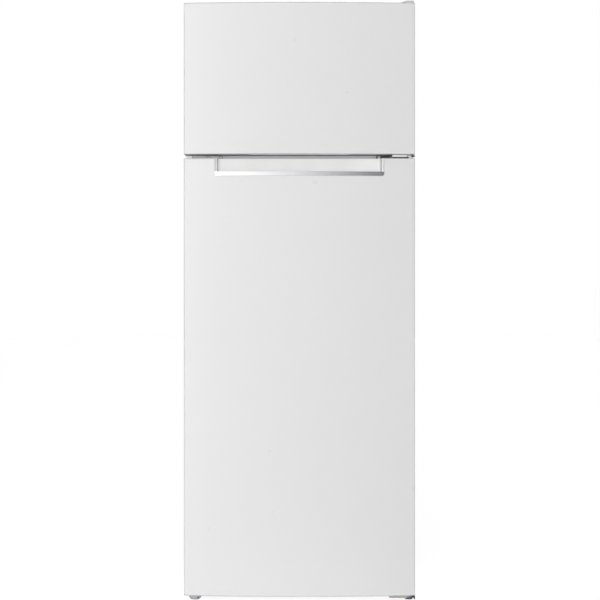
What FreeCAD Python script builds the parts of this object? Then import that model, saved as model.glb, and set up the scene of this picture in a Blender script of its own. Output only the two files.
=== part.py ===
import FreeCAD, Part
import math
import os

# Top freezer refrigerator, about 200 litres, standing on the floor.
# Millimetres. +Z is up, the doors face -Y, +X is the hinge side.
# The origin is on the floor, under the middle of the footprint.

# ---- driving dimensions -------------------------------------------------------------------

# Overall
WIDTH = 545.0                 # across the doors
DEPTH = 555.0                 # front of the handle strip to the wall spacers
CABINET_WIDTH = 541.0
SHEET = 1.0                   # painted steel sheet
PLASTIC = 2.5                 # moulded liners and bins

# Depths
DOOR_BOW = 18.0               # how far the door fronts bulge
STRIP_PROUD = 0.5             # the handle strip stands this far out of the door
FRONT_Y = -DEPTH / 2 + STRIP_PROUD
REAR_Y = DEPTH / 2
FACE_Y = -200.0               # front face of the cabinet
DOOR_BACK_Y = FACE_Y - 10.0
PANEL_Y = 246.0               # outer face of the back panel
LINER_BACK_Y = 197.5          # inner back wall of both compartments

# Heights
BASE_Z = 16.0                 # underside of the steel base
FOAM_Z = 45.0                 # underside of the insulation
CABINET_TOP = 1420.0
FRIDGE_DOOR = (21.5, 1052.0)
FREEZER_DOOR = (1061.2, 1418.0)
FRIDGE_ROOM = (95.0, 1031.0)
FREEZER_ROOM = (1086.0, 1368.0)
FRIDGE_HALF = 225.0           # half the inner width
FREEZER_HALF = 215.0
CROSSBAR = (1035.0, 1082.0)

# Compressor bay and the step it makes in the compartment floor
BAY_Y = 112.0
BAY_TOP = 200.0
STEP_Y = 72.0
STEP_Z = 242.5

# Hinges
HINGE_X = 262.0
HINGE_Y = -230.0
PIN_R = 4.0
RUNNING_GAP = 0.05
HUB_R = 8.0
PLATE = 3.0                   # hinge plate thickness

# Doors
DOOR_CORNER = 3.5             # where the front turns into the sides
HEM = 10.0                    # how far the skin folds over the back of the door
CAP = 4.0                     # end cap plate
CAP_RIM = 2.2                 # how far an end cap shows beyond the skin
CAP_ROUND = 1.6               # its eased edge
CAP_BOSS = 16.0               # depth of the pin boss in an end cap
CAP_BOSS_REACH = 16.0         # how far the boss spreads from the hinge axis
DOOR_LINER = 2.0
RIDGE_Y = -160.0              # how far the door's inner ridges reach into the room
FRIDGE_RIDGE_HALF = 214.0
FREEZER_RIDGE_HALF = 206.0
FRIDGE_RIDGE_WIDTH = 24.0
FREEZER_RIDGE_WIDTH = 22.0
GASKET_HALF = 260.0
GASKET_WIDTH = 16.0
GASKET_GAP = 0.4

# Handle pocket in the top of the lower door
POCKET_HALF = 200.2
POCKET_RIM = 3.2
POCKET_WALL = 3.0
POCKET_STEP = 2.4             # a ledge inside the rim, facing forward
POCKET_STEP_Y = -262.0
POCKET_DRAFT = 2.4            # how much the side walls close in towards the back
POCKET_ROUND = 8.0
POCKET_BEVEL_Y = -264.6       # where the mouth's bevel ends
POCKET_BEVEL = 0.8            # how far the bevel opens sideways for its depth
GROOVE_IN = 3.0               # depth of the fine gap round the pocket
POCKET_BACK_Y = -238.0
POCKET_FLOOR = 998.0
STRIP = (1009.6, 1020.0)
STRIP_DEPTH = 8.0
STRIP_BACK_Y = -255.0         # the strip lies wholly in front of this
STRIP_CORNER = 5.5
STRIP_ROUND = 1.6             # its lower edge
LIP_WALL = 2.0                # plastic behind the strip
STRIP_FIT = 0.6               # fine gap between the skin and what fills its opening

# Finger groove in the underside of the upper door
GROOVE_HALF = 120.0
GROOVE_Y = (-266.0, -244.0)
GROOVE_DEPTH = 13.5

# Bins: bottom height and wall height
BIN_Y = (-209.0, -112.0)
FRIDGE_BINS = {"fridge_bin_lower": (138.0, 120.0),
               "fridge_bin_middle": (460.0, 85.0),
               "fridge_bin_upper": (760.0, 85.0)}
FREEZER_BINS = {"freezer_bin_lower": (1126.0, 65.0),
                "freezer_bin_upper": (1240.0, 65.0)}

# Shelves: height of the supporting ledge
SHELVES = {"crisper_cover": 322.0, "glass_shelf_lower": 560.0, "glass_shelf_upper": 800.0}
GLASS = 4.0
GLASS_HALF = 221.0
GLASS_Y = (-84.0, 188.0)
TRIM_Y = (-98.0, -78.0)
TRIM_OVER = 4.5               # how far the trim stands above and below the glass
FREEZER_SHELF_Z = 1220.0
WIRE_Y = (-95.0, 180.0)

# Crisper drawer
DRAWER_HALF = 195.0
DRAWER_Y = (-92.0, 188.0)
DRAWER_STEP_Y = 64.0
DRAWER_Z = (96.0, 312.0)
DRAWER_STEP_Z = 250.0

# Stand
FOOT_Z = 13.0                 # height of a foot without its stud
LEFT_FOOT = (-250.4, -183.0)
LEFT_FOOT_R = 14.3
LEFT_SOLE_R = 10.6
LEFT_STUD_R = 5.0
RIGHT_FOOT = (262.4, -183.0)
RIGHT_FOOT_R = 10.2
RIGHT_SOLE_R = 9.6
RIGHT_STUD_R = 4.0
ROLLER_X = 232.0
ROLLER_Y = 215.0
ROLLER_R = 13.0
ROLLER_WIDTH = 18.0
AXLE_R = 3.0

# Compressor
COMPRESSOR_X = -30.0
COMPRESSOR_Y = 179.0
COMPRESSOR_R = 62.0
COMPRESSOR_Z = (34.0, 156.0)

X = FreeCAD.Vector(1, 0, 0)
Y = FreeCAD.Vector(0, 1, 0)
Z = FreeCAD.Vector(0, 0, 1)
ORIGIN = FreeCAD.Vector(0, 0, 0)
HALF = CABINET_WIDTH / 2
INSIDE = HALF - SHEET
PAST = 5.0                    # how far a cutting block runs past what it cuts


# ---- helpers ------------------------------------------------------------------------------

def at(x, y, z):
    return FreeCAD.Vector(x, y, z)


def box(x, y, z):
    """A block from three (low, high) pairs."""
    return Part.makeBox(x[1] - x[0], y[1] - y[0], z[1] - z[0], at(x[0], y[0], z[0]))


def wide(half, y, z):
    """A block centred on the middle plane."""
    return box((-half, half), y, z)


def rod(radius, start, axis, length):
    return Part.makeCylinder(radius, length, start, axis)


def mirrored(shape):
    return shape.mirror(ORIGIN, X)


def both_sides(shape):
    return [shape, mirrored(shape)]


def fuse(shapes):
    return shapes[0].fuse(shapes[1:]).removeSplitter()


def runs_along(edge, axis):
    direction = edge.tangentAt(edge.FirstParameter)
    return edge.Curve.TypeId == "Part::GeomLine" and abs(direction.dot(axis)) > 0.999


def rounded(shape, radius, wanted):
    """The shape with every edge that wanted() picks rounded off."""
    return shape.makeFillet(radius, [edge for edge in shape.Edges if wanted(edge)])


def rounded_slab(half, y, z, radius):
    """A centred block whose four front-to-back edges are rounded."""
    return rounded(wide(half, y, z), radius, lambda edge: runs_along(edge, Y))


def side_prism(points, half):
    """A (y, z) outline carried across the width."""
    corners = [at(-half, y, z) for y, z in points]
    face = Part.Face(Part.makePolygon(corners + corners[:1]))
    return face.extrude(X * (2 * half))


def front_prism(points, y):
    """An (x, z) outline carried from front to back."""
    corners = [at(x, y[0], z) for x, z in points]
    face = Part.Face(Part.makePolygon(corners + corners[:1]))
    return face.extrude(Y * (y[1] - y[0]))


def tube(points, radius, bend):
    """A tube along straight runs, joined by tangent arcs."""
    edges = []
    start = points[0]
    for before, corner, after in zip(points, points[1:], points[2:]):
        back = (before - corner).normalize()
        on = (after - corner).normalize()
        half_turn = (math.pi - back.getAngle(on)) / 2
        reach = bend * math.tan(half_turn)
        first = corner + back * reach
        last = corner + on * reach
        middle = corner + (back + on).normalize() * (bend / math.cos(half_turn) - bend)
        edges.append(Part.LineSegment(start, first).toShape())
        edges.append(Part.Arc(first, middle, last).toShape())
        start = last
    edges.append(Part.LineSegment(start, points[-1]).toShape())
    path = Part.Wire(edges)
    ring = Part.Wire(Part.Circle(points[0], points[1] - points[0], radius).toShape())
    return path.makePipeShell([ring], True, True)


# ---- cabinet shell ------------------------------------------------------------------------

FLANGE = 14.0
FLANGE_X = HALF - FLANGE
LINER_FLANGE = (FACE_Y, FACE_Y + PLASTIC)
FIELD_HALF = 228.0
FIELD_Y = (-185.0, 234.0)
FIELD_RISE = 1.5
FIELD_CORNER = 24.0
FREEZER_CORNER = 20.0         # inner corners of the two liners
FRIDGE_CORNER = 15.0
LEDGE = 7.0                   # thickness of a shelf ledge


def side_panel():
    sheet = box((INSIDE, HALF), (FACE_Y, PANEL_Y), (BASE_Z, CABINET_TOP))
    fold = box((FLANGE_X, HALF), (FACE_Y, FACE_Y + SHEET), (FOAM_Z - SHEET, CABINET_TOP - SHEET))
    return fuse([sheet, fold])


def top_panel():
    """The roof sheet, with a raised field that things can stand on."""
    sheet = wide(INSIDE, (FACE_Y, PANEL_Y), (CABINET_TOP - SHEET, CABINET_TOP))
    fold = wide(FLANGE_X, (FACE_Y, FACE_Y + SHEET), (CABINET_TOP - FLANGE, CABINET_TOP - SHEET))
    field = rounded(wide(FIELD_HALF, FIELD_Y, (CABINET_TOP, CABINET_TOP + FIELD_RISE)), FIELD_CORNER,
                    lambda edge: runs_along(edge, Z))
    return fuse([sheet, fold, field])


def back_panel():
    return wide(INSIDE, (PANEL_Y - SHEET, PANEL_Y), (BAY_TOP + SHEET, CABINET_TOP - SHEET))


def bottom_panel():
    floor = wide(INSIDE, (LINER_FLANGE[1], BAY_Y), (FOAM_Z - SHEET, FOAM_Z))
    wall = wide(INSIDE, (BAY_Y - SHEET, BAY_Y), (FOAM_Z - SHEET, BAY_TOP + SHEET))
    roof = wide(INSIDE, (BAY_Y, PANEL_Y), (BAY_TOP, BAY_TOP + SHEET))
    return fuse([floor, wall, roof])


def not_in_front(edge):
    return min(vertex.Point.y for vertex in edge.Vertexes) > FACE_Y + 10 or runs_along(edge, Y)


def freezer_room(grow):
    """The freezer's hollow, grown outwards by the liner's thickness or by nothing."""
    y = (FACE_Y - SHEET, LINER_BACK_Y + grow)
    z = (FREEZER_ROOM[0] - grow, FREEZER_ROOM[1] + grow)
    return rounded(wide(FREEZER_HALF + grow, y, z), FREEZER_CORNER + grow, not_in_front)


def fridge_room(grow):
    """The fridge's hollow: its floor steps up over the compressor bay."""
    front = FACE_Y - SHEET
    floor = FRIDGE_ROOM[0] - grow
    ceiling = FRIDGE_ROOM[1] + grow
    back = LINER_BACK_Y + grow
    step_y = STEP_Y + grow
    step_z = STEP_Z - grow
    outline = [(front, floor), (step_y, floor), (step_y, step_z), (back, step_z),
               (back, ceiling), (front, ceiling)]
    return rounded(side_prism(outline, FRIDGE_HALF + grow), FRIDGE_CORNER + grow,
                   lambda edge: not_in_front(edge) and not inner_step(edge, step_y, step_z))


def inner_step(edge, step_y, step_z):
    middle = edge.CenterOfMass
    return abs(middle.y - step_y) < 1 and abs(middle.z - step_z) < 1


def liner(room, half, z, ledges):
    """A moulded liner: a tub with a flat rim at the cabinet's face and ledges for shelves."""
    behind_face = wide(HALF, (FACE_Y, PANEL_Y), (0, CABINET_TOP))
    rim = wide(FLANGE_X, LINER_FLANGE, z)
    tub = fuse([room(PLASTIC).common(behind_face), rim]).cut(room(0))
    ribs = []
    for reach, y, heights in ledges:
        ribs += both_sides(box((half - reach, half + PLASTIC / 2), y, heights))
    return fuse([tub] + ribs)


def liner_space(room, z):
    """What the foam must leave free for a liner and its rim."""
    return fuse([room(PLASTIC), wide(FLANGE_X, (FACE_Y - SHEET, LINER_FLANGE[1]), z)])


FREEZER_RIM_Z = (CROSSBAR[1], CABINET_TOP - FLANGE)
FRIDGE_RIM_Z = (FOAM_Z - SHEET, CROSSBAR[0])
LEDGE_Y = (-70.0, 182.0)


def freezer_liner():
    ledge = (8.0, LEDGE_Y, (FREEZER_SHELF_Z - LEDGE, FREEZER_SHELF_Z))
    return liner(freezer_room, FREEZER_HALF, FREEZER_RIM_Z, [ledge])


def fridge_liner():
    ledges = [(9.0, LEDGE_Y, (z - LEDGE, z)) for name, z in SHELVES.items() if name != "crisper_cover"]
    runner_z = SHELVES["crisper_cover"]
    ledges.append((FRIDGE_HALF - DRAWER_HALF - 2, LEDGE_Y, (runner_z - LEDGE, runner_z)))
    return liner(fridge_room, FRIDGE_HALF, FRIDGE_RIM_Z, ledges)


def cabinet_foam():
    block = wide(INSIDE, (FACE_Y + SHEET, PANEL_Y - SHEET), (FOAM_Z, CABINET_TOP - SHEET))
    bay = wide(INSIDE, (BAY_Y - SHEET, PANEL_Y), (0, BAY_TOP + SHEET))
    freezer = liner_space(freezer_room, FREEZER_RIM_Z)
    fridge = liner_space(fridge_room, FRIDGE_RIM_Z)
    return block.cut([bay, freezer, fridge])


def crossbar():
    return wide(FLANGE_X, (FACE_Y, FACE_Y + SHEET), CROSSBAR)


# ---- base and stand -----------------------------------------------------------------------

RAIL = 2.0                    # base steel
SHELF_BACK = -160.0           # the shelf that the feet screw into ends here
RAIL_FOOT = 25.0
NUT_Z = (BASE_Z, BASE_Z + 12)
NUT_WALL = 3.0
STUD = 26.0


def base_frame():
    web = wide(INSIDE, (FACE_Y, FACE_Y + RAIL), (BASE_Z, FOAM_Z - SHEET))
    foot_shelf = wide(INSIDE, (FACE_Y, SHELF_BACK), (BASE_Z, BASE_Z + RAIL))
    rail_web = box((INSIDE - RAIL, INSIDE), (FACE_Y, BAY_Y), (BASE_Z, FOAM_Z - SHEET))
    rail_foot = box((INSIDE - RAIL_FOOT, INSIDE), (FACE_Y, BAY_Y), (BASE_Z, BASE_Z + RAIL))
    parts = [web, foot_shelf] + both_sides(rail_web) + both_sides(rail_foot)
    holes = []
    for place, stud_r in ((LEFT_FOOT, LEFT_STUD_R), (RIGHT_FOOT, RIGHT_STUD_R)):
        parts.append(rod(stud_r + NUT_WALL, at(*place, NUT_Z[0]), Z, NUT_Z[1] - NUT_Z[0]))
        holes.append(rod(stud_r + RUNNING_GAP, at(*place, 0), Z, NUT_Z[1] + PAST))
    return fuse(parts).cut(holes)


def foot(place, radius, sole_r, stud_r, taper, edge):
    """A levelling foot: a knob that tapers to its sole, with a stud above it."""
    knob = fuse([Part.makeCone(sole_r, radius, taper, at(*place, 0)),
                 rod(radius, at(*place, taper), Z, FOOT_Z - taper)])
    knob = rounded(knob, edge, lambda line: line.CenterOfMass.z < 0.1
                   and line.Curve.TypeId == "Part::GeomCircle")
    return fuse([knob, rod(stud_r, at(*place, FOOT_Z), Z, STUD)])


def fluted(knob, place, radius, count, flute_r, depth, first):
    """Finger flutes down the knob; the first stands some degrees to the right of the front."""
    cutters = []
    for step in range(count):
        turn = math.radians(first + 360 * step / count)
        reach = radius + flute_r - depth
        x = place[0] + reach * math.sin(turn)
        y = place[1] - reach * math.cos(turn)
        cutters.append(rod(flute_r, at(x, y, -1), Z, FOOT_Z + 2))
    return knob.cut(cutters)


GLAND = (150.0, 29.0)         # x and z of the mains inlet
GLAND_R = 6.0
TAB = 2.0                     # the tabs that hold a roller's axle
TAB_GAP = 1.0
TAB_HALF = 8.0
TAB_LOW = 5.0
SLOT_HALF = 15.0              # the opening over a roller


def compressor_plate():
    plate = wide(INSIDE, (BAY_Y, PANEL_Y), (BASE_Z, BASE_Z + RAIL))
    front = wide(INSIDE - RAIL, (BAY_Y, BAY_Y + RAIL), (BASE_Z, FOAM_Z - SHEET))
    rear = wide(ROLLER_X - ROLLER_WIDTH, (PANEL_Y - RAIL, PANEL_Y), (BASE_Z, FOAM_Z - 5))
    inner = ROLLER_X - ROLLER_WIDTH / 2 - TAB_GAP
    outer = ROLLER_X + ROLLER_WIDTH / 2 + TAB_GAP
    tab_size = ((ROLLER_Y - TAB_HALF, ROLLER_Y + TAB_HALF), (TAB_LOW, BASE_Z + RAIL))
    tabs = [box((inner - TAB, inner), *tab_size), box((outer, outer + TAB), *tab_size)]
    slot = box((inner, outer), (ROLLER_Y - SLOT_HALF, ROLLER_Y + SLOT_HALF), (0, 2 * ROLLER_R + PAST))
    axle_hole = rod(AXLE_R, at(inner - PAST, ROLLER_Y, ROLLER_R), X, outer - inner + 2 * PAST)
    gland_hole = rod(GLAND_R, at(GLAND[0], PANEL_Y - PAST, GLAND[1]), Y, 2 * PAST)
    tray = fuse([plate, front, rear] + both_sides(tabs[0]) + both_sides(tabs[1]))
    return tray.cut(both_sides(slot) + both_sides(axle_hole) + [gland_hole])


def roller_axle():
    start = ROLLER_X - ROLLER_WIDTH / 2 - TAB_GAP - TAB - 1
    length = ROLLER_WIDTH + 2 * (TAB_GAP + TAB + 1)
    return rod(AXLE_R, at(start, ROLLER_Y, ROLLER_R), X, length)


def roller():
    start = at(ROLLER_X - ROLLER_WIDTH / 2, ROLLER_Y, ROLLER_R)
    tyre = rounded(rod(ROLLER_R, start, X, ROLLER_WIDTH), 2,
                   lambda edge: edge.Curve.TypeId == "Part::GeomCircle")
    return tyre.cut(rod(AXLE_R + RUNNING_GAP, start - X, X, ROLLER_WIDTH + 2))


# ---- cooling system -----------------------------------------------------------------------

COMPRESSOR_ROUND = 26.0
SEAM = (58.0, 4.0)            # height above the base plate, and width
MOUNT_BASE = (92.0, 56.0)     # half size of the compressor's base plate
MOUNT_R = 11.0
MOUNT_PLACES = [(COMPRESSOR_X + dx, COMPRESSOR_Y + dy) for dx in (-78, 78) for dy in (-44, 44)]


def compressor():
    middle = at(COMPRESSOR_X, COMPRESSOR_Y, COMPRESSOR_Z[0])
    can = rod(COMPRESSOR_R, middle, Z, COMPRESSOR_Z[1] - COMPRESSOR_Z[0])
    can = rounded(can, COMPRESSOR_ROUND, lambda edge: edge.Curve.TypeId == "Part::GeomCircle")
    seam = rod(COMPRESSOR_R + 2, middle + Z * SEAM[0], Z, SEAM[1])
    base = box((COMPRESSOR_X - MOUNT_BASE[0], COMPRESSOR_X + MOUNT_BASE[0]),
               (COMPRESSOR_Y - MOUNT_BASE[1], COMPRESSOR_Y + MOUNT_BASE[1]),
               (COMPRESSOR_Z[0] - 2, COMPRESSOR_Z[0] + 2))
    base = rounded(base, 12, lambda edge: runs_along(edge, Z))
    return fuse([can, seam, base])


def compressor_mounts():
    height = COMPRESSOR_Z[0] - 2 - BASE_Z - RAIL
    mounts = [rod(MOUNT_R, at(x, y, BASE_Z + RAIL), Z, height) for x, y in MOUNT_PLACES]
    return Part.makeCompound(mounts)


def terminal_box(can):
    side = COMPRESSOR_X + COMPRESSOR_R
    case = box((side - 8, side + 30), (COMPRESSOR_Y - 40, COMPRESSOR_Y + 6), (66, 118))
    return rounded(case, 4, lambda edge: runs_along(edge, Z)).cut(can)


TRAY_X = (COMPRESSOR_X - 68, COMPRESSOR_X + 68)
TRAY_Y = (COMPRESSOR_Y - 56, COMPRESSOR_Y + 56)
TRAY_Z = (COMPRESSOR_Z[1], COMPRESSOR_Z[1] + 24)
TRAY_CORNER = 10.0
TRAY_WALL = 2.0


def drip_tray():
    outer = rounded(box(TRAY_X, TRAY_Y, TRAY_Z), TRAY_CORNER, lambda edge: runs_along(edge, Z))
    inner = box((TRAY_X[0] + TRAY_WALL, TRAY_X[1] - TRAY_WALL),
                (TRAY_Y[0] + TRAY_WALL, TRAY_Y[1] - TRAY_WALL), (TRAY_Z[0] + TRAY_WALL, TRAY_Z[1] + PAST))
    return outer.cut(rounded(inner, TRAY_CORNER - TRAY_WALL, lambda edge: runs_along(edge, Z)))


COIL_R = 2.5
COIL_Y = 256.0
COIL_HALF = 190.0
COIL_Z = 320.0
COIL_PITCH = 50.0
COIL_RUNS = 21


def condenser_coil():
    """One tube folded to and fro across the back of the cabinet."""
    bend = COIL_PITCH / 2
    edges = []
    for run in range(COIL_RUNS):
        z = COIL_Z + run * COIL_PITCH
        side = 1 if run % 2 == 0 else -1
        end = at(side * COIL_HALF, COIL_Y, z)
        edges.append(Part.LineSegment(at(-side * COIL_HALF, COIL_Y, z), end).toShape())
        if run < COIL_RUNS - 1:
            crest = end + X * (side * bend) + Z * bend
            edges.append(Part.Arc(end, crest, end + Z * COIL_PITCH).toShape())
    path = Part.Wire(edges)
    ring = Part.Wire(Part.Circle(at(-COIL_HALF, COIL_Y, COIL_Z), X, COIL_R).toShape())
    return path.makePipeShell([ring], True, True)


SPACER_Z = (COIL_Z + COIL_PITCH, COIL_Z + (COIL_RUNS - 2) * COIL_PITCH)
SPACER_X = (230.0, 254.0)
SPACER_ARM_X = (150.0, 240.0)
SPACER_HALF = 15.0
SPACER_ARM_HALF = 8.0


def wall_spacers():
    spacers = []
    for z in SPACER_Z:
        post = box(SPACER_X, (PANEL_Y, REAR_Y), (z - SPACER_HALF, z + SPACER_HALF))
        post = rounded(post, 4, lambda edge: runs_along(edge, Z))
        arm = box(SPACER_ARM_X, (PANEL_Y, COIL_Y - COIL_R), (z - SPACER_ARM_HALF, z + SPACER_ARM_HALF))
        spacers += both_sides(fuse([post, arm]))
    return Part.makeCompound(spacers)


def refrigerant_tubes(can):
    """The hot tube to the condenser, and the cold one back from the evaporator."""
    port = COMPRESSOR_X - COMPRESSOR_R + 2
    hot = [at(port, COMPRESSOR_Y, 110), at(-232, COMPRESSOR_Y, 110), at(-232, COIL_Y, 110),
           at(-232, COIL_Y, COIL_Z), at(-COIL_HALF, COIL_Y, COIL_Z)]
    cold = [at(90, PANEL_Y, 290), at(90, 264, 290), at(90, 264, 136), at(90, 198, 136),
            at(27, 198, 136)]
    return Part.makeCompound([tube(hot, COIL_R, 14).cut(can), tube(cold, 3, 8).cut(can)])


EVAPORATOR_HALF = 190.0
EVAPORATOR_Z = (1112.0, 1342.0)
CHANNEL_HALF = 172.0          # the raised channel that folds to and fro over the plate
CHANNEL = 10.0
CHANNEL_RISE = 3.0
CHANNEL_Z = 1135.0
CHANNEL_PITCH = 46.0
CHANNEL_RUNS = 5


def evaporator():
    y = (LINER_BACK_Y - 2, LINER_BACK_Y)
    raised = (y[0] - CHANNEL_RISE, y[0] + 1)
    parts = [wide(EVAPORATOR_HALF, y, EVAPORATOR_Z)]
    for run in range(CHANNEL_RUNS):
        z = CHANNEL_Z + run * CHANNEL_PITCH
        parts.append(wide(CHANNEL_HALF, raised, (z - CHANNEL / 2, z + CHANNEL / 2)))
        if run < CHANNEL_RUNS - 1:
            turn = box((CHANNEL_HALF - CHANNEL, CHANNEL_HALF), raised, (z, z + CHANNEL_PITCH))
            parts.append(turn if run % 2 == 0 else mirrored(turn))
    return fuse(parts)


def cord_gland():
    """The grommet of the mains inlet, closed because the cord is left out."""
    centre = at(GLAND[0], PANEL_Y, GLAND[1])
    body = rod(GLAND_R, centre - Y * 8, Y, 16)
    flange = rod(GLAND_R + 3, centre, Y, 4)
    nut = rod(GLAND_R + 2.5, centre - Y * (RAIL + 4), Y, 4)
    recess = rod(3.5, centre + Y * 4, Y, 10)
    return fuse([body, flange, nut]).cut(recess)


# ---- inside the compartments --------------------------------------------------------------

RIM_R = 2.5                   # the wire shelf's rim
WIRE_R = 1.6
WIRE_HALF = 208.0
WIRE_PITCH = 26.0
WIRES_EACH_SIDE = 7


def freezer_shelf():
    """Bright wires welded to a heavier rim."""
    z = FREEZER_SHELF_Z + RIM_R
    length = WIRE_Y[1] - WIRE_Y[0]
    cross_y = (*WIRE_Y, sum(WIRE_Y) / 2)
    rods = [rod(RIM_R, at(-WIRE_HALF, y, z), X, 2 * WIRE_HALF) for y in cross_y]
    for x in (-WIRE_HALF, WIRE_HALF):
        rods.append(rod(RIM_R, at(x, WIRE_Y[0], z), Y, length))
        rods += [Part.makeSphere(RIM_R, at(x, y, z)) for y in WIRE_Y]
    for step in range(-WIRES_EACH_SIDE, WIRES_EACH_SIDE + 1):
        rods.append(rod(WIRE_R, at(step * WIRE_PITCH, WIRE_Y[0], z), Y, length))
    return fuse(rods)


def glass_shelf(z):
    pane = wide(GLASS_HALF, GLASS_Y, (z, z + GLASS))
    return rounded(pane, 6, lambda edge: runs_along(edge, Z) and edge.CenterOfMass.y > 0)


def shelf_trim(z):
    bar = wide(GLASS_HALF, TRIM_Y, (z - TRIM_OVER, z + GLASS + TRIM_OVER))
    bar = rounded(bar, 3, lambda edge: runs_along(edge, X) and edge.CenterOfMass.y < -90)
    return bar.cut(glass_shelf(z))


def drawer_outline(wall):
    """The drawer seen from the side, drawn in by its wall."""
    front = DRAWER_Y[0] + wall
    back = DRAWER_Y[1] - wall
    step = DRAWER_STEP_Y - wall
    floor = DRAWER_Z[0] + wall
    upper_floor = DRAWER_STEP_Z + wall
    top = DRAWER_Z[1] + (5 if wall else 0)
    return [(front, floor), (step, floor), (step, upper_floor), (back, upper_floor),
            (back, top), (front, top)]


DRAWER_EDGE = 8.0             # its rounded lower edges
DRAWER_GRIP_HALF = 90.0
DRAWER_GRIP = 4.0             # how far the grip stands out
DRAWER_GRIP_Z = (DRAWER_Z[1] - 26, DRAWER_Z[1] - 14)


def crisper_drawer():
    low_edge = lambda edge: runs_along(edge, X) and edge.CenterOfMass.z < DRAWER_STEP_Z - 10
    body = rounded(side_prism(drawer_outline(0), DRAWER_HALF), DRAWER_EDGE, low_edge)
    hollow = side_prism(drawer_outline(PLASTIC), DRAWER_HALF - PLASTIC)
    hollow = rounded(hollow, DRAWER_EDGE - PLASTIC, low_edge)
    lip = wide(DRAWER_GRIP_HALF, (DRAWER_Y[0] - DRAWER_GRIP, DRAWER_Y[0] + 1), DRAWER_GRIP_Z)
    lip = rounded(lip, 1.8, lambda edge: runs_along(edge, X)
                  and edge.CenterOfMass.y < DRAWER_Y[0] - DRAWER_GRIP / 2)
    return fuse([body.cut(hollow), lip])


HOUSING_HALF = 95.0
HOUSING_Y = (-70.0, 55.0)
HOUSING_Z = (993.0, 1031.0)
KNOB_Z = 1012.0
DIAL_R = 17.0
DIAL = 5.0
GRIP_HALF = (4.5, 14.0)
SHAFT_R = 3.0


def thermostat_housing():
    outer = wide(HOUSING_HALF, HOUSING_Y, HOUSING_Z)
    outer = rounded(outer, 8, lambda edge: edge.CenterOfMass.z < HOUSING_Z[0] + 1 or runs_along(edge, Z))
    inner = wide(HOUSING_HALF - PLASTIC, (HOUSING_Y[0] + PLASTIC, HOUSING_Y[1] - PLASTIC),
                 (HOUSING_Z[0] + PLASTIC, HOUSING_Z[1] + 1))
    shaft_hole = rod(SHAFT_R + RUNNING_GAP, at(0, HOUSING_Y[0] - 1, KNOB_Z), Y, 10)
    return outer.cut([inner, shaft_hole])


def thermostat_knob():
    face = HOUSING_Y[0] - 0.5
    dial = rod(DIAL_R, at(0, face - DIAL, KNOB_Z), Y, DIAL)
    dial = rounded(dial, 1.2, lambda edge: edge.Curve.TypeId == "Part::GeomCircle"
                   and edge.CenterOfMass.y < face - 1)
    grip = wide(GRIP_HALF[0], (face - 16, face - 4), (KNOB_Z - GRIP_HALF[1], KNOB_Z + GRIP_HALF[1]))
    grip = rounded(grip, 3, lambda edge: runs_along(edge, Y))
    shaft = rod(SHAFT_R, at(0, face - 1, KNOB_Z), Y, 14)
    return fuse([dial, grip, shaft])


LAMP_HALF = 55.0
LAMP_Y = (57.0, 150.0)
LAMP_Z = (1001.0, 1031.0)
LAMP_CORNER = 8.0
LAMP_WALL = 2.0
BULB = (-10.0, 104.0, 1017.0)
BULB_R = 11.0


def lamp_cover():
    outer = wide(LAMP_HALF, LAMP_Y, LAMP_Z)
    outer = rounded(outer, LAMP_CORNER, lambda edge: runs_along(edge, Z)
                    or edge.CenterOfMass.z < LAMP_Z[0] + 1)
    floor = LAMP_Z[0] + LAMP_WALL
    inner = wide(LAMP_HALF - LAMP_WALL, (LAMP_Y[0] + LAMP_WALL, LAMP_Y[1] - LAMP_WALL),
                 (floor, LAMP_Z[1] + 1))
    return outer.cut(rounded(inner, LAMP_CORNER - LAMP_WALL, lambda edge: runs_along(edge, Z)
                             or edge.CenterOfMass.z < floor + 1))


def lamp():
    holder = rod(10, at(*BULB) - X * 38, X, 24)
    neck = rod(7, at(*BULB) - X * 14, X, 8)
    return fuse([holder, neck, Part.makeSphere(BULB_R, at(*BULB))])


SWITCH = (206.0, 998.0)       # x and z of the plunger
SWITCH_Y = (-150.0, -116.0)
SWITCH_HALF = (9.0, 12.0)     # half its width and height
PLUNGER_R = 4.0
PLUNGER_Y = (-159.5, -134.0)
PLUNGER_BORE = 19.0


def switch_body():
    case = box((SWITCH[0] - SWITCH_HALF[0], FRIDGE_HALF), SWITCH_Y,
               (SWITCH[1] - SWITCH_HALF[1], SWITCH[1] + SWITCH_HALF[1]))
    case = rounded(case, 3, lambda edge: runs_along(edge, Y) and edge.CenterOfMass.x < SWITCH[0])
    mouth = at(SWITCH[0], SWITCH_Y[0] - 1, SWITCH[1])
    return case.cut(rod(PLUNGER_R + RUNNING_GAP, mouth, Y, PLUNGER_BORE + 1))


def switch_plunger():
    stem = rod(PLUNGER_R, at(SWITCH[0], PLUNGER_Y[0], SWITCH[1]), Y, PLUNGER_Y[1] - PLUNGER_Y[0])
    return rounded(stem, 1.5, lambda edge: edge.Curve.TypeId == "Part::GeomCircle"
                   and edge.CenterOfMass.y < PLUNGER_Y[0] + 1)


# ---- hinges -------------------------------------------------------------------------------

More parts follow.
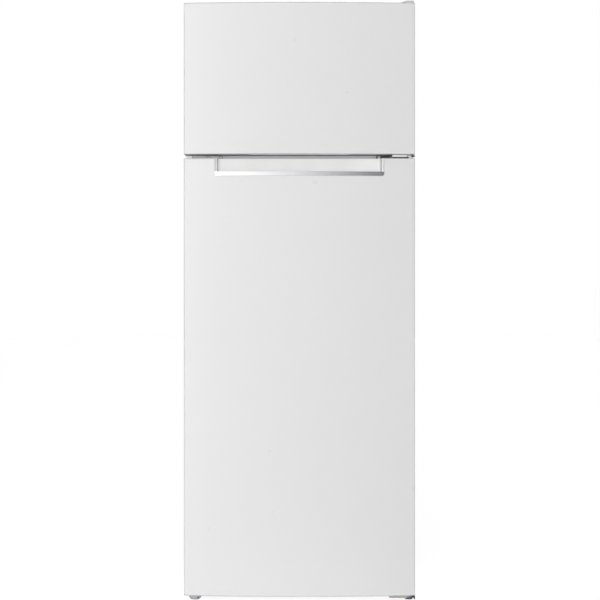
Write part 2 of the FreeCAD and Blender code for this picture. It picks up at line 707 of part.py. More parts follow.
SCREW_R = 2.1
HEAD_R = 4.0
HEAD = 2.2
SCREW_LENGTH = 14.0
PIN_REACH = 14.0              # how deep a pin goes into a door
TOP_SCREWS = [(257.0, y) for y in (-188, -160, -132)]
MIDDLE_SCREWS = [(190.0, 1057.5), (220.5, 1057.5), (247.0, 1063.5)]
BOTTOM_SCREWS = [(219.5, 27.5), (235.5, 27.5), (251.5, 27.5)]
TOP_PLATE_X = (246.0, 268.0)
TOP_PLATE_BACK = -118.0
MIDDLE_PLATE_X = (183.0, 256.0)
MIDDLE_PLATE_Z = (1050.0, 1067.0)
MIDDLE_ARM_X = 218.0
MIDDLE_HUB_R = 5.2
ARM_Z = (1054.0, 1057.0)
STOP_X = 272.2                # a stop tab beside the middle hub
STOP_Y = (-236.0, -222.0)
STOP_Z = (1056.7, 1059.1)
ARM_COVER_X = (219.0, 254.6)
ARM_COVER_Z = (1055.8, 1060.4)
ARM_COVER_FRONT = -250.5
HUB_CAP = 1.0                 # wall of the ring round the middle hub
HUB_CAP_Z = (1053.2, 1060.4)
BOTTOM_PLATE_X = (213.4, 258.4)
BOTTOM_PLATE_Z = (5.5, 34.0)
BOTTOM_ARM_X = 224.0
BOTTOM_ARM_Z = (15.5, 18.5)
COLLAR_R = 6.5
COLLAR = 2.5
PLATE_CORNER = 4.0
LID_X = (238.0, 271.0)        # top hinge cover
LID_Y = (-242.0, -110.0)
LID_TOP = 1426.5
LID_WALL = 0.9
LID_SLOPE = ((247.0, 1.2), (254.0, 0.0))      # x, and how far below the top
LID_SIDE = 4.0                # how much lower its inner side is
LID_BEVEL = 1.5
LID_ANGLE = (14.0, 12.0)      # its cut front corner
LID_CORNER = 3.5


def hinge_screws():
    screws = []
    for x, y in TOP_SCREWS:
        head = at(x, y, CABINET_TOP + PLATE)
        screws.append(fuse([rod(HEAD_R, head, Z, HEAD), rod(SCREW_R, head, -Z, SCREW_LENGTH)]))
    for x, z in MIDDLE_SCREWS + BOTTOM_SCREWS:
        head = at(x, FACE_Y - PLATE, z)
        screws.append(fuse([rod(HEAD_R, head, -Y, HEAD), rod(SCREW_R, head, Y, SCREW_LENGTH)]))
    return Part.makeCompound(screws)


def hub(z, radius=HUB_R):
    return rod(radius, at(HINGE_X, HINGE_Y, z[0]), Z, z[1] - z[0])


def pin(z):
    return hub(z, PIN_R)


def top_hinge():
    z = (CABINET_TOP, CABINET_TOP + PLATE)
    plate = box(TOP_PLATE_X, (HINGE_Y, TOP_PLATE_BACK), z)
    plate = rounded(plate, PLATE_CORNER, lambda edge: runs_along(edge, Z)
                    and edge.CenterOfMass.y > TOP_PLATE_BACK - 1)
    return fuse([plate, hub(z), pin((FREEZER_DOOR[1] - PIN_REACH, z[1]))])


def top_lid(inset):
    """The top hinge cover's outer form, or its hollow: sloping on its inner side, angled in front."""
    low = CABINET_TOP
    high = LID_TOP - inset
    left, right = LID_X[0] + inset, LID_X[1] - inset
    front, back = LID_Y[0] + inset, LID_Y[1] - inset
    slope = [(x, high - drop) for x, drop in reversed(LID_SLOPE)]
    side = front_prism([(left, low), (right, low), (right, high - LID_BEVEL), (right - LID_BEVEL, high)]
                       + slope + [(left, high - LID_SIDE)], (front, back))
    plan = [at(left, back, low), at(left, front + LID_ANGLE[1], low), at(left + LID_ANGLE[0], front, low),
            at(right - LID_CORNER, front, low), at(right, front + LID_CORNER, low), at(right, back, low)]
    return side.common(Part.Face(Part.makePolygon(plan + plan[:1])).extrude(Z * (LID_TOP - low)))


def top_hinge_cover():
    """A low snap-on lid."""
    front = LID_Y[0] + LID_ANGLE[1]
    lid = rounded(top_lid(0), 1.0, lambda edge: edge.CenterOfMass.z > CABINET_TOP + 1
                  and edge.CenterOfMass.y < front + PAST)
    return lid.cut(top_lid(LID_WALL))


def wall_plate(x, z):
    """A hinge plate screwed flat to the front of the cabinet."""
    plate = box(x, (FACE_Y - PLATE, FACE_Y), z)
    return rounded(plate, PLATE_CORNER, lambda edge: runs_along(edge, Y))


def middle_hinge():
    plate = wall_plate(MIDDLE_PLATE_X, MIDDLE_PLATE_Z)
    arm = box((MIDDLE_ARM_X, HINGE_X), (HINGE_Y - MIDDLE_HUB_R, FACE_Y - PLATE / 2), ARM_Z)
    stop = box((HINGE_X, STOP_X), STOP_Y, STOP_Z)
    reach = (FRIDGE_DOOR[1] - PIN_REACH, FREEZER_DOOR[0] + PIN_REACH)
    return fuse([plate, arm, hub(ARM_Z, MIDDLE_HUB_R), stop, pin(reach)])


def middle_hinge_cover(arm):
    """A moulded cap on the arm, and a ring of the same plastic round the hub."""
    sleeve = box(ARM_COVER_X, (ARM_COVER_FRONT, FACE_Y - PLATE - 3), ARM_COVER_Z)
    sleeve = rounded(sleeve, 1.2, lambda edge: edge.CenterOfMass.y < ARM_COVER_FRONT + 1)
    cap = hub(HUB_CAP_Z, MIDDLE_HUB_R + HUB_CAP).cut(hub(HUB_CAP_Z, MIDDLE_HUB_R))
    return Part.makeCompound([sleeve.cut(arm), cap.cut(arm)])


def bottom_hinge():
    plate = wall_plate(BOTTOM_PLATE_X, BOTTOM_PLATE_Z)
    arm = box((BOTTOM_ARM_X, HINGE_X), (HINGE_Y - HUB_R, FACE_Y - PLATE / 2), BOTTOM_ARM_Z)
    collar = hub((BOTTOM_ARM_Z[1], BOTTOM_ARM_Z[1] + COLLAR), COLLAR_R)
    return fuse([plate, arm, hub(BOTTOM_ARM_Z), collar,
                 pin((BOTTOM_ARM_Z[0], FRIDGE_DOOR[0] + PIN_REACH))])


# ---- doors --------------------------------------------------------------------------------

HALF_DOOR = WIDTH / 2
BOW_R = (HALF_DOOR ** 2 + DOOR_BOW ** 2) / (2 * DOOR_BOW)
BOW_CENTRE = FRONT_Y + BOW_R
SKIN_BACK = DOOR_BACK_Y - SHEET


def door_prism(inset, back, z):
    """The door's plan outline, an arc front with rounded corners, drawn in and carried up."""
    half = HALF_DOOR - inset
    bow = BOW_R - inset
    corner = max(DOOR_CORNER - inset, 1.0)
    corner_y = BOW_CENTRE - math.sqrt((bow - corner) ** 2 - (half - corner) ** 2)
    lean = math.atan2(half - corner, BOW_CENTRE - corner_y)
    on_bow = at(bow * math.sin(lean), BOW_CENTRE - bow * math.cos(lean), z[0])
    mid_turn = (math.pi / 2 + lean) / 2
    on_corner = at(half - corner + corner * math.sin(mid_turn),
                   corner_y - corner * math.cos(mid_turn), z[0])
    side = at(half, corner_y, z[0])
    heel = at(half, back, z[0])
    flip = lambda point: at(-point.x, point.y, point.z)
    edges = [Part.LineSegment(heel, side).toShape(),
             Part.Arc(side, on_corner, on_bow).toShape(),
             Part.Arc(on_bow, at(0, BOW_CENTRE - bow, z[0]), flip(on_bow)).toShape(),
             Part.Arc(flip(on_bow), flip(on_corner), flip(side)).toShape(),
             Part.LineSegment(flip(side), flip(heel)).toShape(),
             Part.LineSegment(flip(heel), heel).toShape()]
    return Part.Face(Part.Wire(edges)).extrude(Z * (z[1] - z[0]))


def door_block(z):
    """The whole door's outline, with the edges of its two ends eased."""
    return rounded(door_prism(0, DOOR_BACK_Y, z), CAP_ROUND, lambda edge: not runs_along(edge, Z)
                   and edge.CenterOfMass.y < DOOR_BACK_Y - 1)


def door_skin(z):
    """Steel sheet between the end caps: the front, the two sides and a fold over the back edge."""
    skin_z = (z[0] + CAP_RIM, z[1] - CAP_RIM)
    outer = door_prism(0, DOOR_BACK_Y, skin_z)
    inner = door_prism(SHEET, SKIN_BACK, (z[0] - 1, z[1] + 1))
    back_opening = wide(HALF_DOOR - HEM, (SKIN_BACK - 5, DOOR_BACK_Y + 1), (z[0] - 1, z[1] + 1))
    return outer.cut([inner, back_opening])


def door_inside(z):
    """What lies within the skin between two heights."""
    core = door_prism(SHEET, SKIN_BACK, z)
    tongue = wide(HALF_DOOR - HEM, (SKIN_BACK - 5, DOOR_BACK_Y), z)
    return fuse([core, tongue])


def boss_z(z, at_top):
    return (z[1] - CAP_BOSS, z[1]) if at_top else (z[0], z[0] + CAP_BOSS)


def cap_block(z, at_top):
    """An end cap before boring: a plate with a boss on the hinge axis."""
    plate_z = (z[1] - CAP, z[1]) if at_top else (z[0], z[0] + CAP)
    boss = box((HINGE_X - CAP_BOSS_REACH, HALF_DOOR),
               (HINGE_Y - CAP_BOSS_REACH, HINGE_Y + CAP_BOSS_REACH), boss_z(z, at_top))
    boss = boss.common(door_inside(boss_z(z, at_top)))
    rim_z = (z[1] - CAP_RIM, z[1]) if at_top else (z[0], z[0] + CAP_RIM)
    rim = door_prism(0, DOOR_BACK_Y, rim_z)
    return fuse([door_inside(plate_z), boss, rim]).common(door_block(z))


def pin_bore(z, at_top):
    """The blind bore that takes a hinge pin."""
    depth = CAP_BOSS - 1
    start = z[1] - depth if at_top else z[0] - 1
    return rod(PIN_R + RUNNING_GAP, at(HINGE_X, HINGE_Y, start), Z, depth + 1)


def ring(half, y, z, width, radius):
    """A picture frame of the given width."""
    inner_z = (z[0] + width, z[1] - width)
    outer = rounded_slab(half, y, z, radius)
    return outer.cut(rounded_slab(half - width, (y[0] - 1, y[1] + 1), inner_z, max(radius - width, 4)))


RIDGE_INSET = 15.0            # the ridge stands this far inside the room's floor and ceiling
RIDGE_CORNER = 22.0


def ridge_z(room):
    return (room[0] + RIDGE_INSET, room[1] - RIDGE_INSET)


def ridge(half, width, room):
    return ring(half, (DOOR_BACK_Y - DOOR_LINER / 2, RIDGE_Y), ridge_z(room), width,
                RIDGE_CORNER)


def ridge_core(half, width, room):
    """The foam inside the ridge."""
    z = ridge_z(room)
    z = (z[0] + DOOR_LINER, z[1] - DOOR_LINER)
    y = (DOOR_BACK_Y - DOOR_LINER * 2, RIDGE_Y - DOOR_LINER)
    return ring(half - DOOR_LINER, y, z, width - 2 * DOOR_LINER, RIDGE_CORNER - DOOR_LINER)


LUG_Y = (-197.0, -173.0)
LUG = 9.8                     # height of a lug
LUG_REACH = 5.5
TAB_DROP = 30.0               # a bin's tabs hang this far below its rim
TAB_HEIGHT = 10.0


def door_liner(z, half, width, room, bins):
    """The moulded inner face of a door, with a ridge all round and lugs that carry the bins."""
    plate = wide(HALF_DOOR - HEM, (DOOR_BACK_Y - DOOR_LINER, DOOR_BACK_Y), (z[0] + CAP, z[1] - CAP))
    shell = fuse([plate, ridge(half, width, room)]).cut(ridge_core(half, width, room))
    inner = half - width
    lugs = []
    for low, height in bins.values():
        top = low + height - TAB_DROP - 0.2
        lug = box((inner - LUG_REACH, inner + 1), LUG_Y, (top - LUG, top))
        lugs += both_sides(lug)
    return fuse([shell] + lugs)


def door_foam(z, half, width, room, hollows):
    inner_z = (z[0] + CAP, z[1] - CAP)
    core = door_inside(inner_z)
    core = core.cut(wide(HALF_DOOR, (DOOR_BACK_Y - DOOR_LINER, DOOR_BACK_Y + 5), z))
    core = fuse([core, ridge_core(half, width, room)])
    return core.cut(hollows)


FRIDGE_GASKET_Z = (36.0, 1048.0)
FREEZER_GASKET_Z = (1069.0, 1408.0)
GASKET_CORNER = 14.0
GROOVE_WALL = 2.0


def gasket(z):
    y = (DOOR_BACK_Y, FACE_Y - GASKET_GAP)
    return ring(GASKET_HALF, y, z, GASKET_WIDTH, GASKET_CORNER)


def groove(wall, z_low):
    """The finger groove under the upper door; wall grows it into the channel's outside."""
    y = (GROOVE_Y[0] - wall, GROOVE_Y[1] + wall)
    return wide(GROOVE_HALF + wall, y, (z_low, FREEZER_DOOR[0] + GROOVE_DEPTH + wall))


def freezer_cap_blocks():
    return [cap_block(FREEZER_DOOR, True),
            fuse([cap_block(FREEZER_DOOR, False), groove(GROOVE_WALL, FREEZER_DOOR[0])])]


def fridge_cap_blocks():
    return [cap_block(FRIDGE_DOOR, True).cut(pocket_block()), cap_block(FRIDGE_DOOR, False)]


def bored_caps(z, blocks, hollows):
    cutters = [pin_bore(z, True), pin_bore(z, False)] + hollows
    return Part.makeCompound([block.cut(cutters) for block in blocks])


def pocket_block():
    """The room that the handle pocket takes up in the lower door."""
    return wide(POCKET_HALF, (FRONT_Y - PAST, POCKET_BACK_Y), (POCKET_FLOOR, FRIDGE_DOOR[1] + PAST))


def strip_window(half, z):
    """The opening in the door's front, rounded at its lower corners."""
    window = wide(half, (FRONT_Y - PAST, POCKET_BACK_Y), z)
    return rounded(window, STRIP_CORNER, lambda edge: runs_along(edge, Y)
                   and edge.CenterOfMass.z < z[0] + 1)


def pocket_window():
    return strip_window(POCKET_HALF, (STRIP[0] - STRIP_FIT, FRIDGE_DOOR[1] + PAST))


def fitted_window(low):
    """The opening less the fine gap all round what fills it."""
    return strip_window(POCKET_HALF - STRIP_FIT, (low, FRIDGE_DOOR[1] + PAST))


def handle_strip():
    band = door_prism(-STRIP_PROUD, DOOR_BACK_Y, STRIP).common(fitted_window(STRIP[0]))
    band = rounded(band, STRIP_ROUND, lambda edge: edge.CenterOfMass.y < STRIP_BACK_Y
                   and edge.CenterOfMass.z < STRIP[1] - 0.5)
    return band.cut(door_prism(STRIP_DEPTH, DOOR_BACK_Y + PAST, (STRIP[0] - 1, STRIP[1] + 1)))


def pocket_hollow():
    """Where the fingers go: open in front above the strip, and down behind it."""
    rim = POCKET_HALF - POCKET_RIM
    ledge = rim - POCKET_STEP
    back = (ledge - POCKET_DRAFT, POCKET_BACK_Y - POCKET_WALL)
    outside = FRONT_Y - PAST
    flare = rim + POCKET_BEVEL * (POCKET_BEVEL_Y - outside)
    half_plan = [(flare, outside), (rim, POCKET_BEVEL_Y), (rim, POCKET_STEP_Y), (ledge, POCKET_STEP_Y), back]
    plan = half_plan + [(-x, y) for x, y in reversed(half_plan)]
    corners = [at(x, y, POCKET_FLOOR + POCKET_WALL) for x, y in plan]
    face = Part.Face(Part.makePolygon(corners + corners[:1]))
    hollow = face.extrude(Z * (FRIDGE_DOOR[1] + PAST - corners[0].z))
    hollow = rounded(hollow, POCKET_ROUND, lambda edge: runs_along(edge, Z)
                     and edge.CenterOfMass.y > back[1] - 1)
    lip_z = (POCKET_FLOOR, STRIP[1])
    behind_lip = door_prism(STRIP_DEPTH + LIP_WALL, DOOR_BACK_Y + PAST, lip_z)
    lip = door_prism(0, DOOR_BACK_Y, lip_z).cut(behind_lip)
    return hollow.cut(lip)


def handle_pocket(strip):
    behind_skin = door_prism(SHEET, DOOR_BACK_Y, (POCKET_FLOOR, FRIDGE_DOOR[1])).common(pocket_block())
    in_window = door_prism(0, DOOR_BACK_Y, (STRIP[0], FRIDGE_DOOR[1])).common(fitted_window(STRIP[0]))
    whole_z = (POCKET_FLOOR, FRIDGE_DOOR[1])
    behind_gap = door_prism(GROOVE_IN, DOOR_BACK_Y + PAST, whole_z)
    fine_gap = pocket_window().cut([fitted_window(STRIP[0]), behind_gap])
    body = fuse([behind_skin, in_window]).common(door_block(FRIDGE_DOOR))
    return body.cut([fine_gap, pocket_hollow(), strip])


BIN_GAP = 7.0                 # between a bin's end and the ridge
BIN_CORNER = 10.0
BIN_EDGE = 5.0                # its rounded lower edge
TAB_Y = (-196.0, -174.0)


def bin_(low, height, half):
    """A door bin: an open tray with a tab at each end that hangs on the door's lugs."""
    top = low + height
    middle = sum(BIN_Y) / 2
    outer = wide(half - BIN_GAP, BIN_Y, (low, top))
    outer = rounded(outer, BIN_CORNER, lambda edge: runs_along(edge, Z) and edge.CenterOfMass.y > middle)
    outer = rounded(outer, BIN_EDGE, lambda edge: edge.CenterOfMass.z < low + 0.1
                    and edge.CenterOfMass.y > BIN_Y[0] + 1)
    inner_y = (BIN_Y[0] + PLASTIC, BIN_Y[1] - PLASTIC)
    inner = wide(half - BIN_GAP - PLASTIC, inner_y, (low + PLASTIC, top + PAST))
    inner = rounded(inner, BIN_CORNER - PLASTIC, lambda edge: runs_along(edge, Z)
                    and edge.CenterOfMass.y > middle)
    tab = box((half - BIN_GAP - 1, half - 1), TAB_Y, (top - TAB_DROP, top - TAB_DROP + TAB_HEIGHT))
    return fuse([outer.cut(inner)] + both_sides(tab))


# ---- assembly -----------------------------------------------------------------------------

def cabinet_parts():
    screws = hinge_screws()
    can = compressor()
    arm = middle_hinge()
    parts = {
        "side_panel_right": side_panel(),
        "side_panel_left": mirrored(side_panel()),
        "top_panel": top_panel().cut(screws),
        "back_panel": back_panel(),
        "bottom_panel": bottom_panel(),
        "cabinet_foam": cabinet_foam().cut(screws),
        "freezer_liner": freezer_liner(),
        "fridge_liner": fridge_liner(),
        "crossbar": crossbar().cut(screws),
        "base_frame": base_frame().cut(screws),
        "compressor_plate": compressor_plate(),
        "wall_spacers": wall_spacers(),
        "compressor": can,
        "compressor_mounts": compressor_mounts(),
        "terminal_box": terminal_box(can),
        "drip_tray": drip_tray(),
        "condenser_coil": condenser_coil(),
        "refrigerant_tubes": refrigerant_tubes(can),
        "evaporator": evaporator(),
        "cord_gland": cord_gland(),
        "top_hinge": top_hinge().cut(screws),
        "top_hinge_cover": top_hinge_cover(),
        "middle_hinge": arm.cut(screws),
        "middle_hinge_cover": middle_hinge_cover(arm),
        "bottom_hinge": bottom_hinge().cut(screws),
        "hinge_screws": screws,
        "roller_axles": Part.makeCompound(both_sides(roller_axle())),
    }
    return parts


def inner_parts():
    parts = {
        "freezer_shelf": freezer_shelf(),
        "shelf_trims": Part.makeCompound([shelf_trim(z) for z in SHELVES.values()]),
        "thermostat_housing": thermostat_housing(),
        "lamp": lamp(),
        "lamp_cover": lamp_cover(),
        "switch_body": switch_body(),
    }
    for name, z in SHELVES.items():
        parts[name] = glass_shelf(z)
    return parts


def moving_parts():
    left = foot(LEFT_FOOT, LEFT_FOOT_R, LEFT_SOLE_R, LEFT_STUD_R, 4.8, 1.2)
    right = foot(RIGHT_FOOT, RIGHT_FOOT_R, RIGHT_SOLE_R, RIGHT_STUD_R, 10.0, 1.6)
    return {
        "crisper_drawer": crisper_drawer(),
        "thermostat_knob": thermostat_knob(),
        "switch_plunger": switch_plunger(),
        "front_foot_left": fluted(left, LEFT_FOOT, LEFT_FOOT_R, 10, 2.0, 1.3, 37),
        "front_foot_right": fluted(right, RIGHT_FOOT, RIGHT_FOOT_R, 12, 1.5, 1.1, -7),
        "rear_roller_right": roller(),
        "rear_roller_left": mirrored(roller()),
    }


def freezer_door_parts():
    shape = (FREEZER_RIDGE_HALF, FREEZER_RIDGE_WIDTH, FREEZER_ROOM)
    blocks = freezer_cap_blocks()
    finger_space = groove(0, FREEZER_DOOR[0] - 1)
    parts = {
        "freezer_door_skin": door_skin(FREEZER_DOOR),
        "freezer_door_caps": bored_caps(FREEZER_DOOR, blocks, [finger_space]),
        "freezer_door_foam": door_foam(FREEZER_DOOR, *shape, blocks),
        "freezer_door_liner": door_liner(FREEZER_DOOR, *shape, FREEZER_BINS),
        "freezer_door_gasket": gasket(FREEZER_GASKET_Z),
    }
    for name, (low, height) in FREEZER_BINS.items():
        parts[name] = bin_(low, height, FREEZER_RIDGE_HALF - FREEZER_RIDGE_WIDTH)
    return parts


def fridge_door_parts():
    shape = (FRIDGE_RIDGE_HALF, FRIDGE_RIDGE_WIDTH, FRIDGE_ROOM)
    blocks = fridge_cap_blocks()
    strip = handle_strip()
    parts = {
        "fridge_door_skin": door_skin(FRIDGE_DOOR).cut(pocket_window()),
        "fridge_door_caps": bored_caps(FRIDGE_DOOR, blocks, []),
        "fridge_door_foam": door_foam(FRIDGE_DOOR, *shape, blocks + [pocket_block()]),
        "fridge_door_liner": door_liner(FRIDGE_DOOR, *shape, FRIDGE_BINS),
        "fridge_door_gasket": gasket(FRIDGE_GASKET_Z),
        "handle_pocket": handle_pocket(strip),
        "handle_strip": strip,
    }
    for name, (low, height) in FRIDGE_BINS.items():
        parts[name] = bin_(low, height, FRIDGE_RIDGE_HALF - FRIDGE_RIDGE_WIDTH)
    return parts


def main():
    os.makedirs("parts", exist_ok=True)
    groups = [cabinet_parts(), inner_parts(), moving_parts(), freezer_door_parts(), fridge_door_parts()]
    count = 0
    for group in groups:
        for name, shape in group.items():
            shape.exportStep("parts/" + name + ".step")
            count += 1
            print(name, len(shape.Solids), "solids", round(shape.Volume / 1000, 1), "cm3",
                  "valid" if shape.isValid() else "NOT VALID")
    print(count, "nodes")


main()
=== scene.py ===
import math

import bmesh
import bpy
from mathutils import Matrix, Vector


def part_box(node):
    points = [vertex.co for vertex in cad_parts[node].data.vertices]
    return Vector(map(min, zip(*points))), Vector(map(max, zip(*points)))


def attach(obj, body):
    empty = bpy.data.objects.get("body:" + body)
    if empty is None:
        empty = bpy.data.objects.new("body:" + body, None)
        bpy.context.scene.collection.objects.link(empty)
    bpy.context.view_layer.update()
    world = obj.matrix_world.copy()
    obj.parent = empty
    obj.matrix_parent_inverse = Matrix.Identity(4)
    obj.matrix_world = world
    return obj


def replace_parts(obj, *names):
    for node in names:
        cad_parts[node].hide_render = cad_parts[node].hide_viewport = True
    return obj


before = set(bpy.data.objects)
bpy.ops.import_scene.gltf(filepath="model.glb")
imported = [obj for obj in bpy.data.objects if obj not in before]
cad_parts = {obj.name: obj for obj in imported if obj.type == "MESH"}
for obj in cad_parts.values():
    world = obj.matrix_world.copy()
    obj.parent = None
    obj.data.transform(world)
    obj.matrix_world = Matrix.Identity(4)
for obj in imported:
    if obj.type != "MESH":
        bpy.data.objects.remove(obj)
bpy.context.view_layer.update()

# Top freezer refrigerator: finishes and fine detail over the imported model. Metres, +Z up, doors face -Y.

MM = 0.001


# ---- materials ------------------------------------------------------------------------------

class Finish:
    """A node material: one Principled shader, with patterns laid over it in the frame's own coordinates."""

    def __init__(self, name, colour, rough, **sockets):
        self.material = bpy.data.materials.new(name)
        self.material.use_nodes = True
        self.material.diffuse_color = (*colour, 1)
        self.tree = self.material.node_tree
        self.shader = self.tree.nodes["Principled BSDF"]
        self.colour = colour
        self.shader.inputs["Base Color"].default_value = (*colour, 1)
        self.shader.inputs["Roughness"].default_value = rough
        for socket, value in sockets.items():
            self.shader.inputs[socket.replace("_", " ")].default_value = value
        self.place = self.tree.nodes.new("ShaderNodeTexCoord").outputs["Object"]
        self.relief = None

    def node(self, kind, settings=None, **inputs):
        """A shader node whose inputs are either linked or set; an underscore stands for a space."""
        made = self.tree.nodes.new("ShaderNode" + kind)
        for name, value in (settings or {}).items():
            setattr(made, name, value)
        for name, value in inputs.items():
            socket = made.inputs[name.replace("_", " ")]
            if isinstance(value, bpy.types.NodeSocket):
                self.tree.links.new(value, socket)
            else:
                socket.default_value = value
        return made

    def stretched(self, x, y, z):
        """The frame's coordinates, scaled along each axis: a small factor draws the pattern out."""
        return self.node("Mapping", Vector=self.place, Scale=(x, y, z)).outputs["Vector"]

    def noise(self, size, detail=2.0, place=None):
        """Soft noise from 0 to 1, whose lumps are about size metres across."""
        made = self.node("TexNoise", Vector=place or self.place, Scale=1 / size, Detail=detail)
        return made.outputs["Fac"]

    def cells(self, size, output="Distance"):
        """Cells about size metres across."""
        return self.node("TexVoronoi", Vector=self.place, Scale=1 / size).outputs[output]

    def ranged(self, value, low, high):
        """The middle half of the value's range, mapped to low and high."""
        return self.node("MapRange", Value=value, From_Min=0.25, From_Max=0.75,
                         To_Min=low, To_Max=high).outputs["Result"]

    def tinted(self, value, shade):
        """The base colour drifts towards shade where value is high."""
        mix = self.node("Mix", {"data_type": "RGBA"}, Factor=self.ranged(value, 0, 1.0))
        mix.inputs["A"].default_value = (*self.colour, 1)
        mix.inputs["B"].default_value = (*shade, 1)
        self.tree.links.new(mix.outputs["Result"], self.shader.inputs["Base Color"])
        return self

    def scuffed(self, value, low, high):
        """Roughness runs from low to high with the value."""
        self.tree.links.new(self.ranged(value, low, high), self.shader.inputs["Roughness"])
        return self

    def bumped(self, value, depth):
        """Relief of depth metres. Several can be laid over each other."""
        inputs = dict(Height=value, Distance=depth, Strength=1.0)
        if self.relief:
            inputs["Normal"] = self.relief
        self.relief = self.node("Bump", **inputs).outputs["Normal"]
        self.tree.links.new(self.relief, self.shader.inputs["Normal"])
        return self


def shaded(colour, factor):
    """The same colour, darker."""
    return tuple(channel * factor for channel in colour)


def grey(level):
    return (level, level, level)


def painted(name, colour, rough=0.32):
    """Baked enamel on steel sheet, with the faint orange peel that such paint has."""
    made = Finish(name, colour, rough, Coat_Weight=0.35, Coat_Roughness=0.12)
    made.tinted(made.noise(0.35), shaded(colour, 0.985))
    made.scuffed(made.noise(0.05, 4), rough - 0.05, rough + 0.05)
    return made.bumped(made.noise(0.0022), 0.012 * MM)


def moulded(name, colour, rough=0.38, grain=0.02, size=0.0011, **sockets):
    """Injection moulded plastic with a fine spark-eroded grain."""
    made = Finish(name, colour, rough, **sockets)
    made.tinted(made.noise(0.06), shaded(colour, 0.96))
    made.scuffed(made.noise(0.02, 4), rough - 0.06, rough + 0.06)
    return made.bumped(made.noise(size, 1), grain * MM)


def liner_plastic(name, colour):
    """Vacuum formed polystyrene: satin, with a slight waviness drawn out of the sheet."""
    made = Finish(name, colour, 0.42, Specular_IOR_Level=0.25)
    made.tinted(made.noise(0.12), shaded(colour, 0.975))
    made.scuffed(made.noise(0.03, 3), 0.36, 0.48)
    made.bumped(made.noise(0.045), 0.25 * MM)
    return made.bumped(made.noise(0.003), 0.01 * MM)


def galvanised(name):
    """Zinc coated sheet with its flat crystals."""
    made = Finish(name, (0.52, 0.54, 0.56), 0.4, Metallic=0.85)
    crystals = made.cells(0.011, "Color")
    made.tinted(crystals, (0.38, 0.40, 0.42))
    made.scuffed(crystals, 0.3, 0.52)
    return made.bumped(made.noise(0.02, 4), 0.03 * MM)


def machined(name, colour, rough, along=(1, 1, 1), wear=0.8):
    """Bare or plated metal with fine drawing lines along one way."""
    made = Finish(name, colour, rough, Metallic=1.0)
    lines = made.noise(0.0012, 3, made.stretched(*along))
    made.tinted(made.noise(0.02, 5), shaded(colour, wear))
    made.scuffed(lines, rough * 0.75, rough * 1.3)
    return made.bumped(lines, 0.004 * MM)


def zinc_plated(name):
    """The dull bright plating of small screws and clips."""
    made = Finish(name, (0.74, 0.74, 0.76), 0.35, Metallic=0.4)
    made.tinted(made.noise(0.003, 4), (0.58, 0.58, 0.61))
    made.scuffed(made.noise(0.002, 3), 0.28, 0.45)
    return made.bumped(made.noise(0.0008), 0.01 * MM)


def black_enamel(name):
    """The thick black paint of a compressor and a condenser, a little dusty."""
    made = Finish(name, (0.014, 0.014, 0.015), 0.3, Coat_Weight=0.3)
    made.tinted(made.noise(0.015, 5), (0.03, 0.029, 0.028))
    made.scuffed(made.noise(0.006, 4), 0.24, 0.42)
    return made.bumped(made.noise(0.0028), 0.03 * MM)


def see_through(name, colour, rough, ior, ripple):
    """Clear moulding or glass, whose faces are not quite flat."""
    made = Finish(name, colour, rough, Transmission_Weight=1.0, IOR=ior)
    made.scuffed(made.noise(0.03, 4), rough, rough + 0.04)
    return made.bumped(made.noise(0.03, 1), ripple * MM)


def insulation(name):
    """Yellow-brown polyurethane foam."""
    made = Finish(name, (0.62, 0.5, 0.3), 0.9)
    made.tinted(made.noise(0.05, 4), (0.5, 0.37, 0.2))
    return made.bumped(made.cells(0.0016), 0.4 * MM)


def rubber(name, colour, rough=0.75):
    """Soft matt rubber or vinyl."""
    made = Finish(name, colour, rough, Sheen_Weight=0.15)
    made.tinted(made.noise(0.02, 4), shaded(colour, 0.85))
    made.scuffed(made.noise(0.01, 3), rough - 0.08, rough + 0.08)
    return made.bumped(made.noise(0.0009), 0.02 * MM)


def copper_tube(name):
    """Drawn copper, with darker handled patches."""
    made = Finish(name, (0.74, 0.37, 0.22), 0.28, Metallic=1.0)
    made.tinted(made.noise(0.012, 5), (0.42, 0.2, 0.12))
    made.scuffed(made.noise(0.006, 4), 0.2, 0.42)
    return made.bumped(made.noise(0.002), 0.01 * MM)


def chromed(name):
    """Bright steel strip, brushed along its length."""
    made = Finish(name, (0.81, 0.805, 0.822), 0.2, Metallic=1.0)
    lines = made.noise(0.0006, 2, made.stretched(0.02, 1, 1))
    made.scuffed(lines, 0.16, 0.24)
    return made.bumped(lines, 0.001 * MM)


